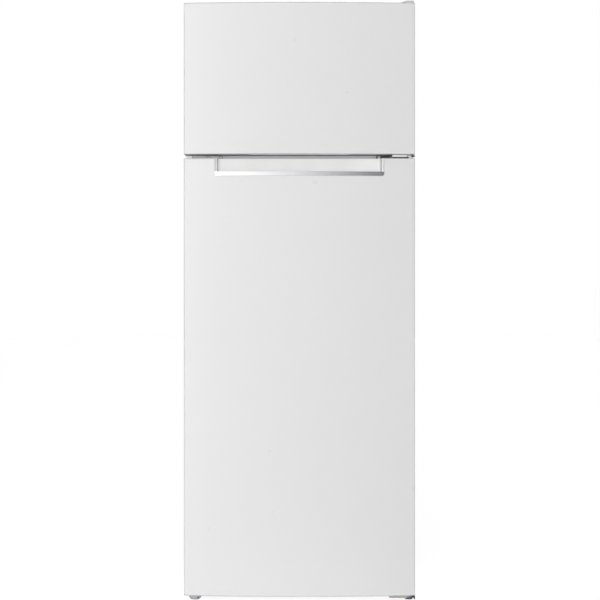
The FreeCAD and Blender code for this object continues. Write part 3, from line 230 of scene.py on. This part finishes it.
MATERIALS = {
    "white_paint": painted("white_paint", grey(0.80)),
    "crossbar_paint": painted("crossbar_paint", (0.5, 0.49, 0.515), 0.4),
    "galvanised": galvanised("galvanised"),
    "foam": insulation("foam"),
    "liner_white": liner_plastic("liner_white", (0.82, 0.825, 0.82)),
    "trim_white": moulded("trim_white", (0.84, 0.84, 0.835), 0.55, Specular_IOR_Level=0.2),
    # cap_white: end caps greyer than the door paint, as such caps are; the grey also paints the shade along
    # the doors' top and bottom edges and under the hinge cover.
    "cap_white": moulded("cap_white", (0.67, 0.67, 0.665), 0.5, Specular_IOR_Level=0.35),
    # lid_white: the top hinge's white cover, set to a grey that paints the shade on its edges.
    "lid_white": moulded("lid_white", (0.6, 0.6, 0.595), 0.5, Specular_IOR_Level=0.35),
    "dark_plastic": moulded("dark_plastic", (0.12, 0.12, 0.125), 0.5),
    "gasket": rubber("gasket", (0.84, 0.84, 0.845), 0.6),
    "bright_strip": chromed("bright_strip"),
    "clear_plastic": see_through("clear_plastic", (0.93, 0.96, 0.97), 0.04, 1.49, 0.15),
    "shelf_glass": see_through("shelf_glass", (0.86, 0.95, 0.92), 0.0, 1.52, 0.01),
    "hinge_steel": machined("hinge_steel", (0.56, 0.56, 0.57), 0.36, (0.05, 1, 1)),
    "dark_hinge": machined("dark_hinge", (0.17, 0.17, 0.175), 0.42, (0.05, 1, 1)),
    "screw_steel": zinc_plated("screw_steel"),
    "black_paint": black_enamel("black_paint"),
    "copper": copper_tube("copper"),
    "aluminium": machined("aluminium", (0.75, 0.76, 0.77), 0.38, (1, 1, 0.04)),
    "coated_wire": moulded("coated_wire", (0.84, 0.84, 0.835), 0.3, 0.01, 0.003),
    "black_plastic": moulded("black_plastic", (0.035, 0.035, 0.037), 0.42),
    "grey_plastic": moulded("grey_plastic", (0.52, 0.515, 0.535), 0.5),
    "mount_rubber": rubber("mount_rubber", (0.018, 0.018, 0.018)),
    "bulb": see_through("bulb", (0.97, 0.96, 0.93), 0.1, 1.45, 0.02),
    "lens": see_through("lens", (0.93, 0.93, 0.92), 0.22, 1.5, 0.1),
}


def dress_nodes():
    """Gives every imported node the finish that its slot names."""
    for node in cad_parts.values():
        for slot in node.material_slots:
            slot.material = MATERIALS[slot.material.name].material


dress_nodes()


# ---- mesh pieces ----------------------------------------------------------------------------

class Piece:
    """A mesh made of swept and turned forms, which rides on a body once it is finished."""

    def __init__(self, name):
        self.name = name
        self.bm = bmesh.new()

    def loft(self, rings, closed_path=False):
        """Skins a run of point rings that all have the same number of points, and caps its ends."""
        verts = [[self.bm.verts.new(point) for point in ring] for ring in rings]
        count = len(verts[0])
        pairs = list(zip(verts, verts[1:]))
        if closed_path:
            pairs.append((verts[-1], verts[0]))
        for here, there in pairs:
            for k in range(count):
                after = (k + 1) % count
                self.bm.faces.new((here[k], here[after], there[after], there[k]))
        if not closed_path:
            self.bm.faces.new(verts[0][::-1])
            self.bm.faces.new(verts[-1])
        return self

    def rod(self, start, end, radius, sides=8):
        """A straight round bar."""
        start, end = Vector(start), Vector(end)
        around = circle(*axes_of(end - start), sides)
        return self.loft([[point + step * radius for step in around] for point in (start, end)])

    def tube(self, points, radius, bend, sides=10):
        """A round tube along the points, with each corner bent to the given radius."""
        path = bent_path([Vector(point) for point in points], bend)
        rings = []
        across = axes_of(path[1] - path[0])[0]
        for k, point in enumerate(path):
            along = (path[min(k + 1, len(path) - 1)] - path[max(k - 1, 0)]).normalized()
            across = (across - along * across.dot(along)).normalized()
            rings.append([point + step * radius for step in circle(across, along.cross(across), sides)])
        return self.loft(rings)

    def slab(self, outline, step):
        """A flat outline of points, thickened by a step."""
        start = [Vector(point) for point in outline]
        return self.loft([start, [point + Vector(step) for point in start]])

    def cross_head(self, seat, out, radius, height, turn=0.3, sides=24):
        """A pan screw head on its seat, with a cross-shaped recess for the driver."""
        seat, out = Vector(seat), Vector(out).normalized()
        across, over = axes_of(out)

        def point(x, y, up):
            return seat + (across * x + over * y) * radius + out * (up * height)

        turns = [math.tau * k / sides for k in range(sides)]
        circles = []
        for size, up in ((1.0, 0.0), (1.0, 0.35), (0.9, 0.75), (0.68, 1.0)):
            circles.append([self.bm.verts.new(point(size * math.cos(turn), size * math.sin(turn), up))
                            for turn in turns])
        for here, there in zip(circles, circles[1:]):
            for k in range(sides):
                after = (k + 1) % sides
                self.bm.faces.new((here[k], here[after], there[after], there[k]))
        wide, arm = 0.11, 0.5         # shares of the head's radius
        corner = [(wide, wide), (wide, arm), (-wide, arm)]
        cross = []
        for quarter in range(4):
            angle = turn + math.radians(90) * quarter
            for x, y in corner:
                cross.append((x * math.cos(angle) - y * math.sin(angle),
                              x * math.sin(angle) + y * math.cos(angle)))
        rim = [self.bm.verts.new(point(x, y, 1.0)) for x, y in cross]
        pit = [self.bm.verts.new(point(x * 0.6, y * 0.6, 0.1)) for x, y in cross]
        edges = []
        for loop in (circles[-1], rim):
            for k, vert in enumerate(loop):
                after = loop[(k + 1) % len(loop)]
                edges.append(self.bm.edges.get((vert, after)) or self.bm.edges.new((vert, after)))
        bmesh.ops.triangle_fill(self.bm, use_beauty=True, edges=edges)
        for k in range(len(rim)):
            after = (k + 1) % len(rim)
            self.bm.faces.new((rim[k], rim[after], pit[after], pit[k]))
        self.bm.faces.new(pit)
        return self

    def turned(self, centre, axis, profile, sides=32):
        """Turns a profile of (distance along the axis, radius) pairs about an axis through centre."""
        centre, axis = Vector(centre), Vector(axis).normalized()
        around = circle(*axes_of(axis), sides)
        return self.loft([[centre + axis * along + step * radius for step in around]
                          for along, radius in profile])

    def frame(self, half, z_range, profile, corner, steps=6):
        """Sweeps a profile of (inward, y) pairs round an upright rectangle with rounded corners."""
        low, high = z_range
        rings = []
        centres = [(half - corner, high - corner), (corner - half, high - corner),
                   (corner - half, low + corner), (half - corner, low + corner)]
        for quarter, (x, z) in enumerate(centres):
            for step in range(steps + 1):
                turn = math.radians(90) * (quarter + step / steps)
                out = Vector((math.cos(turn), 0, math.sin(turn)))
                middle = Vector((x, 0, z)) + out * corner
                rings.append([middle - out * inward + Vector((0, y, 0)) for inward, y in profile])
        return self.loft(rings, closed_path=True)

    def done(self, body, slot, smooth=35.0):
        """Turns the mesh into a piece that rides on body and wears the slot's finish."""
        bmesh.ops.recalc_face_normals(self.bm, faces=self.bm.faces)
        limit = math.radians(smooth)
        for face in self.bm.faces:
            face.smooth = True
        for edge in self.bm.edges:
            edge.smooth = len(edge.link_faces) == 2 and edge.calc_face_angle(0) < limit
        mesh = bpy.data.meshes.new(self.name)
        self.bm.to_mesh(mesh)
        self.bm.free()
        mesh.materials.append(MATERIALS[slot].material)
        made = bpy.data.objects.new(self.name, mesh)
        bpy.context.scene.collection.objects.link(made)
        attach(made, body)
        return made


def axes_of(axis):
    """Two unit vectors across an axis, and across each other."""
    axis = Vector(axis).normalized()
    spare = Vector((0, 0, 1)) if abs(axis.z) < 0.9 else Vector((1, 0, 0))
    across = axis.cross(spare).normalized()
    return across, axis.cross(across).normalized()


def circle(across, over, sides):
    """Unit steps out from a centre, all the way round in the plane of across and over."""
    turns = [math.tau * side / sides for side in range(sides)]
    return [across * math.cos(turn) + over * math.sin(turn) for turn in turns]


def upright_box(low, high):
    """The outline, at its front face, of a box between two corners."""
    return [(low.x, low.y, low.z), (high.x, low.y, low.z), (high.x, low.y, high.z), (low.x, low.y, high.z)]


def bent_path(points, bend, steps=6):
    """The points joined by straight runs, with an arc of radius bend in place of each corner."""
    path = [points[0]]
    for before, corner, after in zip(points, points[1:], points[2:]):
        into, away = (before - corner).normalized(), (after - corner).normalized()
        half = into.angle(away) / 2
        centre = corner + (into + away).normalized() * (bend / math.sin(half))
        start = corner + into * (bend / math.tan(half)) - centre
        end = corner + away * (bend / math.tan(half)) - centre
        sweep = start.angle(end)
        for step in range(steps + 1):
            share = step / steps
            arm = start * math.sin((1 - share) * sweep) + end * math.sin(share * sweep)
            path.append(centre + arm / math.sin(sweep))
    return path + [points[-1]]


# ---- back: condenser wires ------------------------------------------------------------------

WIRE_R = 0.8 * MM
WIRE_PITCH = 6.2 * MM
WIRE_PAIRS = 61
WIRE_PAST = 5 * MM            # how far the wires run past the tube at top and bottom


def condenser_wires():
    """Stiff wires welded up both faces of the condenser's tube, which carry its heat away."""
    low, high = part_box("condenser_coil")
    middle = (low.y + high.y) / 2
    tube_r = (high.y - low.y) / 2
    wires = Piece("condenser_wires")
    for face in (-1, 1):
        y = middle + face * (tube_r + WIRE_R * 0.7)
        for number in range(WIRE_PAIRS):
            x = (number - (WIRE_PAIRS - 1) / 2) * WIRE_PITCH
            wires.rod((x, y, low.z - WIRE_PAST), (x, y, high.z + WIRE_PAST), WIRE_R, 6)
    wires.done("cabinet", "black_paint", 70)


# ---- doors: gaskets -------------------------------------------------------------------------

GASKET_CORNER = 14 * MM


def gasket_profile(depth):
    """Section of a magnetic gasket, as (inward, y) from its outer edge and the door's back.

    A flat foot lies on the liner, a bellows fold stands on it, and a plump magnet pocket ends it."""
    foot, neck, fold, pocket = depth * 0.16, depth * 0.256, depth * 0.42, depth * 0.56
    swell, rim, face = pocket + 0.6 * MM, depth - 1.4 * MM, depth - 0.1 * MM
    section = [(2.0, 0), (14.0, 0), (14.0, foot), (11.5, neck), (13.6, fold), (12.6, pocket),
               (15.2, swell), (16.0, rim), (15.0, face), (8.0, depth), (1.0, face), (0, rim),
               (0.8, swell), (3.4, pocket), (2.4, fold), (4.5, neck), (2.0, foot)]
    return [(inward * MM, y) for inward, y in section]


def gaskets():
    """Folded seals in place of the plain packed ones."""
    for door in ("freezer_door", "fridge_door"):
        node = door + "_gasket"
        low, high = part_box(node)
        profile = [(inward, low.y + y) for inward, y in gasket_profile(high.y - low.y)]
        seal = Piece(node + "_bellows").frame(high.x, (low.z, high.z), profile, GASKET_CORNER)
        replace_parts(seal.done(door, "gasket", 40), node)


# ---- screws ---------------------------------------------------------------------------------

HINGE_HEAD = 2.2 * MM         # height of the hinge screws' heads
HINGE_SHANK_R = 2.1 * MM
SHEET_HEAD = 1.8 * MM         # height of the sheet metal screws' heads
SHEET_HEAD_R = 3.6 * MM


def islands(node):
    """The box of each separate solid in a node."""
    bm = bmesh.new()
    bm.from_mesh(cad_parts[node].data)
    bmesh.ops.remove_doubles(bm, verts=bm.verts, dist=0.01 * MM)
    left = set(bm.verts)
    boxes = []
    while left:
        reached = [left.pop()]
        found = []
        while reached:
            vert = reached.pop()
            found.append(vert.co.copy())
            for edge in vert.link_edges:
                other = edge.other_vert(vert)
                if other in left:
                    left.remove(other)
                    reached.append(other)
        boxes.append([Vector([pick(point[axis] for point in found) for axis in range(3)])
                      for pick in (min, max)])
    bm.free()
    return sorted(boxes, key=lambda box: tuple(box[0]))


def hinge_screws():
    """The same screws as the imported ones, with cross recesses in their heads."""
    screws = Piece("hinge_screw_set")
    for low, high in islands("hinge_screws"):
        middle = (low + high) / 2
        radius = (high.x - low.x) / 2
        upright = high.z - low.z > high.y - low.y
        out = Vector((0, 0, 1)) if upright else Vector((0, -1, 0))
        tip = Vector((middle.x, middle.y, high.z)) if upright else Vector((middle.x, low.y, middle.z))
        tail = Vector((middle.x, middle.y, low.z)) if upright else Vector((middle.x, high.y, middle.z))
        seat = tip - out * HINGE_HEAD
        screws.cross_head(seat, out, radius, HINGE_HEAD, turn=middle.x * 40)
        screws.rod(seat, tail, HINGE_SHANK_R)
    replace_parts(screws.done("cabinet", "screw_steel", 30), "hinge_screws")


# ---- front details --------------------------------------------------------------------------

SPARE_HOLES_X = (-218.7 * MM, -187.6 * MM)
SPARE_HOLES_Z = 1057.5 * MM
PLUG_R = 3.1 * MM
SEAM_HALF = 0.5 * MM
STOP_OUTER = 272.4 * MM       # both stops end flush with the cabinet's right side
TAB_INNER, TAB_FRONT, TAB_BACK = 266.6 * MM, -258 * MM, -234 * MM
TAB_LOW, TAB_HIGH = 1056.7 * MM, 1059.1 * MM
BUFFER_FRONT, BUFFER_LENGTH = -259 * MM, 23 * MM
# Painted shade: black rods sit in the left foot's flutes where shaded spanner slots would be.
SLOT_TURNS = (37, 217)        # degrees, as the foot's own flutes are counted
SLOT_R = 1.7 * MM
SLOT_INSET = 2.1 * MM
SLOT_LOW, SLOT_HIGH = 3 * MM, 7.4 * MM


def hole_plugs():
    """Plugs in the spare screw holes, where the middle hinge goes when the doors open the other way, each
    in a thin black ring of painted shade for the groove round its rim.
    """
    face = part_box("crossbar")[0].y
    plug = [(-2 * MM, PLUG_R), (0.6 * MM, PLUG_R), (1.1 * MM, PLUG_R * 0.8), (1.3 * MM, PLUG_R * 0.4)]
    wide = PLUG_R + 1.2 * MM
    # Painted shade: the seal profile is a thin black ring that stands for the shaded groove round each
    # plug.
    seal = [(-1 * MM, wide), (0.3 * MM, wide), (0.5 * MM, PLUG_R + 0.6 * MM)]
    for name, profile, slot in (("hole_plugs", plug, "grey_plastic"),
                                ("hole_plug_shade_rings", seal, "black_plastic")):
        made = Piece(name)
        for x in SPARE_HOLES_X:
            made.turned((x, face, SPARE_HOLES_Z), (0, -1, 0), profile, 24)
        made.done("cabinet", slot)


def crossbar_seams():
    """The joints between the crossbar and the folded edges of the side panels."""
    low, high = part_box("crossbar")
    for side, x in (("left", low.x), ("right", high.x)):
        corners = (Vector((x - SEAM_HALF, low.y, low.z)), Vector((x + SEAM_HALF, low.y, high.z)))
        seam = Piece("crossbar_seam_" + side).slab(upright_box(*corners), (0, -0.1 * MM, 0))
        seam.done("cabinet", "dark_plastic")


def hinge_stop():
    """The front end of the stop tab beside the middle hinge's pivot."""
    corners = (Vector((TAB_INNER, TAB_FRONT, TAB_LOW)), Vector((STOP_OUTER, TAB_FRONT, TAB_HIGH)))
    tip = Piece("hinge_stop").slab(upright_box(*corners), (0, TAB_BACK - TAB_FRONT, 0))
    tip.done("cabinet", "dark_hinge")


def door_stop():
    """A rubber buffer with a hooked end, beside the lower hinge's pivot."""
    outline = [(-7.8, 20.9), (0, 20.9), (0, 13.2), (-1.8, 12.2), (-2.2, 16.2), (-7.8, 16.8)]
    points = [(STOP_OUTER + x * MM, BUFFER_FRONT, z * MM) for x, z in outline]
    Piece("door_stop").slab(points, (0, BUFFER_LENGTH, 0)).done("cabinet", "black_plastic")


def foot_slot_shade():
    """Black rods low down in two of the left foot's flutes: painted shade that stands for spanner slots."""
    low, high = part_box("front_foot_left")
    middle = (low + high) / 2
    reach = (high.x - low.x) / 2 - SLOT_INSET
    slot_shade = Piece("foot_slot_shade")
    for turn in (math.radians(degrees) for degrees in SLOT_TURNS):
        x, y = middle.x + reach * math.sin(turn), middle.y - reach * math.cos(turn)
        slot_shade.rod((x, y, SLOT_LOW), (x, y, SLOT_HIGH), SLOT_R, 16)
    slot_shade.done("front_foot_left", "black_plastic", 60)


# ---- back and compressor --------------------------------------------------------------------

SCREW_ROWS = 7
BEAD_X = 223 * MM
BEAD_R = 2.6 * MM
BEAD_SUNK = 1.4 * MM          # how deep a bead's middle lies in the panel
FOAM_PLUG_X = 140 * MM
FOAM_PLUG = [(-1, 14), (0.9, 14), (1.6, 12.5), (1.6, 8), (0.8, 7), (0.8, 1)]
CLIP_R = 0.9 * MM
CLIP_GAP = 0.7 * MM           # from the terminal box to the middle of the clip's wire
STUB_R = 3.2 * MM
STUB_TOP = 40 * MM
STUB_PINCH = [(-4, -1), (4, -1), (4, 1), (-4, 1)]
DRIER_Z = 205 * MM
DRIER = [(0, 2.8), (8, 3.4), (16, 8.5), (66, 8.5), (74, 3.4), (82, 2.8)]


def scaled(profile):
    """A profile that is written in millimetres."""
    return [(along * MM, radius * MM) for along, radius in profile]


def back_fixings():
    """Screws round the back panel, pressed beads that stiffen it, and the plugs of the foaming holes."""
    low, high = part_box("back_panel")
    face = high.y
    outward = (0, 1, 0)
    screws = Piece("back_panel_screws")
    for row in range(SCREW_ROWS):
        z = low.z + 12 * MM + (high.z - low.z - 24 * MM) * row / (SCREW_ROWS - 1)
        for side in (-1, 1):
            seat = (side * (high.x - 8 * MM), face, z)
            screws.cross_head(seat, outward, SHEET_HEAD_R, SHEET_HEAD, turn=row * 0.7)
    for step in range(-2, 3):
        seat = (step * 90 * MM, face, high.z - 10 * MM)
        screws.cross_head(seat, outward, SHEET_HEAD_R, SHEET_HEAD, turn=step)
    screws.done("cabinet", "screw_steel", 30)
    beads = Piece("back_panel_beads")
    plugs = Piece("foaming_hole_plugs")
    for side in (-1, 1):
        x, y = side * BEAD_X, face - BEAD_SUNK
        beads.rod((x, y, low.z + 40 * MM), (x, y, high.z - 40 * MM), BEAD_R, 14)
        plugs.turned((side * FOAM_PLUG_X, face, high.z - 45 * MM), outward, scaled(FOAM_PLUG), 40)
    beads.done("cabinet", "galvanised", 60)
    plugs.done("cabinet", "trim_white")


def terminal_clip():
    """The spring wire that holds the lid on the terminal box."""
    low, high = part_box("terminal_box")
    y = (low.y + high.y) / 2
    inner, outer = high.x - 20 * MM, high.x + CLIP_GAP
    top, bottom = high.z + CLIP_GAP, low.z - CLIP_GAP
    route = [(inner, y, top), (outer, y, top), (outer, y, bottom), (inner, y, bottom)]
    Piece("terminal_clip").tube(route, CLIP_R, 3 * MM).done("cabinet", "screw_steel", 60)


def filling_stub():
    """The pinched-off tube through which the compressor was filled."""
    low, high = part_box("compressor")
    middle = (low + high) / 2
    start = Vector((middle.x - 30 * MM, middle.y + 48 * MM, 112 * MM))
    elbow = start + Vector((-14, 16, 0)) * MM
    top = elbow + Vector((0, 0, STUB_TOP))
    stub = Piece("filling_stub").tube([start, elbow, top], STUB_R, 8 * MM, 14)
    stub.slab([top + Vector((x, y, 0)) * MM for x, y in STUB_PINCH], (0, 0, 9 * MM))
    stub.done("cabinet", "copper", 40)


def filter_drier():
    """The filter and drier in the tube that runs up the back at the left."""
    low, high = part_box("refrigerant_tubes")
    x, y = low.x + 2.5 * MM, high.y - 2.5 * MM
    drier = Piece("filter_drier").turned((x, y, DRIER_Z), (0, 0, 1), scaled(DRIER), 28)
    drier.done("cabinet", "copper", 40)


# ---- thermostat -----------------------------------------------------------------------------

FIGURE_SIZE = 5.0 * MM
FIRST_FIGURE, FIGURE_STEP = -130, 52     # degrees round the dial
DIAL_DEPTH = 11 * MM          # from the grip's front to the dial
POINTER_HALF, POINTER_TOP, POINTER_LENGTH = 0.6 * MM, 13.2 * MM, 9 * MM
INK = (0, -0.12 * MM, 0)


def numeral(text, place, size, turn, body, slot):
    """A printed figure that faces the doors, turned about its middle."""
    curve = bpy.data.curves.new("numeral_" + text, "FONT")
    curve.body = text
    curve.size = size
    curve.align_x = "CENTER"
    curve.align_y = "CENTER"
    curve.extrude = 0.06 * MM
    curve.materials.append(MATERIALS[slot].material)
    made = bpy.data.objects.new("numeral_" + text, curve)
    made.matrix_world = (Matrix.Translation(place) @ Matrix.Rotation(turn, 4, "Y")
                         @ Matrix.Rotation(math.radians(90), 4, "X"))
    bpy.context.scene.collection.objects.link(made)
    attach(made, body)


def dial_marks():
    """A pointer line and the figures 1 to 6 on the knob, and an index beside it."""
    low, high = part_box("thermostat_knob")
    x, z = (low.x + high.x) / 2, (low.z + high.z) / 2
    radius = (high.x - low.x) / 2
    for number in range(6):
        turn = math.radians(FIRST_FIGURE + FIGURE_STEP * number)
        out = Vector((math.sin(turn), 0, math.cos(turn)))
        place = Vector((x, low.y + DIAL_DEPTH, z)) + out * (radius * 0.74)
        numeral(str(number + 1), place, FIGURE_SIZE, turn, "thermostat_knob", "black_plastic")
    top = z + POINTER_TOP
    foot = top - POINTER_LENGTH
    corners = (Vector((x - POINTER_HALF, low.y, foot)), Vector((x + POINTER_HALF, low.y, top)))
    Piece("knob_pointer").slab(upright_box(*corners), INK).done("thermostat_knob", "black_plastic")
    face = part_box("thermostat_housing")[0].y
    tip = x - radius - 1.5 * MM
    arrow = [(tip, face, z), (tip - 4 * MM, face, z + 1.8 * MM), (tip - 4 * MM, face, z - 1.8 * MM)]
    Piece("dial_index").slab(arrow, INK).done("cabinet", "black_plastic")


condenser_wires()
gaskets()
hinge_screws()
hole_plugs()
crossbar_seams()
hinge_stop()
door_stop()
foot_slot_shade()
back_fixings()
terminal_clip()
filling_stub()
filter_drier()
dial_marks()


# ---- camera, lights and floor ---------------------------------------------------------------

CAMERA_X = 0.0013
CAMERA_Z = 0.76
CAMERA_DISTANCE = 4.0         # from the doors' side edges
EDGE_Y = -0.259               # where the doors' side edges turn back
SENSOR = 36.0
FRAME_WIDTH = 1.41386         # metres across the picture in the plane of those edges
PICTURE_CENTRE_Z = 0.7181     # height that falls on the middle of the picture


def make_camera():
    """Level, with a long lens; the framing's last bit of height is a small shift."""
    data = bpy.data.cameras.new("camera")
    data.sensor_width = SENSOR
    data.lens = SENSOR * CAMERA_DISTANCE / FRAME_WIDTH
    data.shift_y = (PICTURE_CENTRE_Z - CAMERA_Z) / FRAME_WIDTH
    data.clip_end = 60.0
    camera = bpy.data.objects.new("camera", data)
    camera.location = (CAMERA_X, EDGE_Y - CAMERA_DISTANCE, CAMERA_Z)
    camera.rotation_euler = (math.radians(90), 0, 0)
    bpy.context.scene.collection.objects.link(camera)
    bpy.context.scene.camera = camera


def soft_box(name, place, target, width, height, power, unlit=None):
    """A lamp without glints that the camera doesn't see, and that leaves the unlit object alone."""
    data = bpy.data.lights.new(name, "AREA")
    data.shape = "RECTANGLE"
    data.size = width
    data.size_y = height
    data.energy = power
    lamp = bpy.data.objects.new(name, data)
    lamp.location = place
    lamp.rotation_euler = (Vector(target) - Vector(place)).to_track_quat("-Z", "Y").to_euler()
    lamp.visible_camera = False
    lamp.visible_glossy = False
    bpy.context.scene.collection.objects.link(lamp)
    if unlit:
        group = bpy.data.collections.new(name + "_unlit")
        group.objects.link(unlit)
        group.collection_objects[0].light_linking.link_state = "EXCLUDE"
        lamp.light_linking.receiver_collection = group


def seen_by(tree, *ray_kinds):
    """1 for rays of these kinds, 0 for the rest."""
    path = tree.nodes.new("ShaderNodeLightPath")
    value = path.outputs[ray_kinds[0]]
    for kind in ray_kinds[1:]:
        either = tree.nodes.new("ShaderNodeMath")
        either.operation = "MAXIMUM"
        tree.links.new(value, either.inputs[0])
        tree.links.new(path.outputs[kind], either.inputs[1])
        value = either.outputs[0]
    return value


# Degrees round from straight in front, and how bright the studio's wall is there.
STUDIO = [(-180, 0.1), (-51, 0.1), (-41, 6.6), (-22, 6.6), (-18, 1.4), (-8, 1.2), (0, 0.9), (5, 0.65),
          (11, 0.34), (17, 0.11), (40, 0.05), (65, 0.4), (180, 0.4)]
LOW_WALL, LOW_RAY = 0.95, -0.34      # no wall is brighter than this where a ray falls so steeply
HIGH_WALL, HIGH_RAY = 6.6, -0.14     # and than this where it falls no more than so


def studio_walls(tree):
    """What glossy parts reflect: a bright wall in front on the left, which fades to dark on the right."""
    ray = tree.nodes.new("ShaderNodeTexCoord").outputs["Generated"]
    parts = tree.nodes.new("ShaderNodeSeparateXYZ")
    tree.links.new(ray, parts.inputs[0])
    forward = tree.nodes.new("ShaderNodeMath")
    forward.operation = "MULTIPLY"
    forward.inputs[1].default_value = -1
    tree.links.new(parts.outputs["Y"], forward.inputs[0])
    angle = tree.nodes.new("ShaderNodeMath")
    angle.operation = "ARCTAN2"
    tree.links.new(parts.outputs["X"], angle.inputs[0])
    tree.links.new(forward.outputs[0], angle.inputs[1])
    turn = tree.nodes.new("ShaderNodeMapRange")
    turn.inputs["From Min"].default_value = -math.pi
    turn.inputs["From Max"].default_value = math.pi
    tree.links.new(angle.outputs[0], turn.inputs["Value"])
    ramp = tree.nodes.new("ShaderNodeValToRGB")
    tree.links.new(turn.outputs["Result"], ramp.inputs["Fac"])
    stops = ramp.color_ramp.elements
    while len(stops) < len(STUDIO):
        stops.new(0.5)
    for stop, (degrees, level) in zip(stops, STUDIO):
        stop.position = (degrees + 180) / 360
        stop.color = (*grey(level), 1)
    limit = tree.nodes.new("ShaderNodeMapRange")
    limit.inputs["From Min"].default_value = LOW_RAY
    limit.inputs["From Max"].default_value = HIGH_RAY
    limit.inputs["To Min"].default_value = LOW_WALL
    limit.inputs["To Max"].default_value = HIGH_WALL
    tree.links.new(parts.outputs["Z"], limit.inputs["Value"])
    wall = tree.nodes.new("ShaderNodeMath")
    wall.operation = "MINIMUM"
    tree.links.new(ramp.outputs["Color"], wall.inputs[0])
    tree.links.new(limit.outputs["Result"], wall.inputs[1])
    return wall.outputs[0]


def make_world(level):
    """Even soft light, plain white behind the object, and the studio walls in reflections."""
    world = bpy.data.worlds.new("studio")
    world.use_nodes = True
    bpy.context.scene.world = world
    tree = world.node_tree
    even = tree.nodes["Background"]
    even.inputs["Color"].default_value = (1, 1, 1, 1)
    even.inputs["Strength"].default_value = level
    white = tree.nodes.new("ShaderNodeBackground")
    white.inputs["Color"].default_value = (1, 1, 1, 1)
    walls = tree.nodes.new("ShaderNodeBackground")
    tree.links.new(studio_walls(tree), walls.inputs["Color"])
    polished = tree.nodes.new("ShaderNodeMixShader")
    tree.links.new(seen_by(tree, "Is Glossy Ray"), polished.inputs["Fac"])
    tree.links.new(even.outputs[0], polished.inputs[1])
    tree.links.new(walls.outputs[0], polished.inputs[2])
    final = tree.nodes.new("ShaderNodeMixShader")
    tree.links.new(seen_by(tree, "Is Camera Ray", "Is Transmission Ray"), final.inputs["Fac"])
    tree.links.new(polished.outputs[0], final.inputs[1])
    tree.links.new(white.outputs[0], final.inputs[2])
    tree.links.new(final.outputs[0], tree.nodes["World Output"].inputs["Surface"])


def make_floor(colour, glow, bounce):
    """A pale floor that the camera sees as white, apart from the object's shadow."""
    mesh = bpy.data.meshes.new("floor")
    half = 20.0
    corners = [(-half, -half, 0), (half, -half, 0), (half, half, 0), (-half, half, 0)]
    mesh.from_pydata(corners, [], [(0, 1, 2, 3)])
    floor = bpy.data.objects.new("floor", mesh)
    bpy.context.scene.collection.objects.link(floor)
    material = bpy.data.materials.new("floor")
    material.use_nodes = True
    tree = material.node_tree
    shader = tree.nodes["Principled BSDF"]
    shader.inputs["Base Color"].default_value = (*grey(colour), 1)
    shader.inputs["Roughness"].default_value = 0.9
    shader.inputs["Specular IOR Level"].default_value = 0.1
    shader.inputs["Emission Color"].default_value = (1, 1, 1, 1)
    seen = tree.nodes.new("ShaderNodeMapRange")
    seen.inputs["To Min"].default_value = bounce
    seen.inputs["To Max"].default_value = glow
    tree.links.new(seen_by(tree, "Is Camera Ray", "Is Transmission Ray"), seen.inputs["Value"])
    tree.links.new(seen.outputs["Result"], shader.inputs["Emission Strength"])
    mesh.materials.append(material)
    floor.visible_glossy = False
    return floor


# Name, place, target, width, height and watts. The fills light the sides, back and top, not the floor.
KEY = ("key", (-0.29, -9.0, 0.6), (0, -0.26, 0.7), 2.3, 0.8, 501)
FILLS = [
    ("left_fill", (-4.6, 4.4, 1.7), (-0.27, 0.1, 0.7), 2.0, 2.0, 80),
    ("right_fill", (4.6, 4.4, 1.7), (0.27, 0.1, 0.7), 2.0, 2.0, 80),
    ("back_fill", (0.4, 7.0, 2.4), (0, 0.3, 0.7), 3.0, 2.5, 60),
    ("top_fill", (0, 2.6, 5.6), (0, 0.05, 1.42), 2.0, 2.0, 55),
]

make_camera()
make_world(0.2)
floor = make_floor(0.8, 0.82, 0.1)
soft_box(*KEY)
for fill in FILLS:
    soft_box(*fill, unlit=floor)
bpy.context.scene.view_settings.view_transform = "Standard"
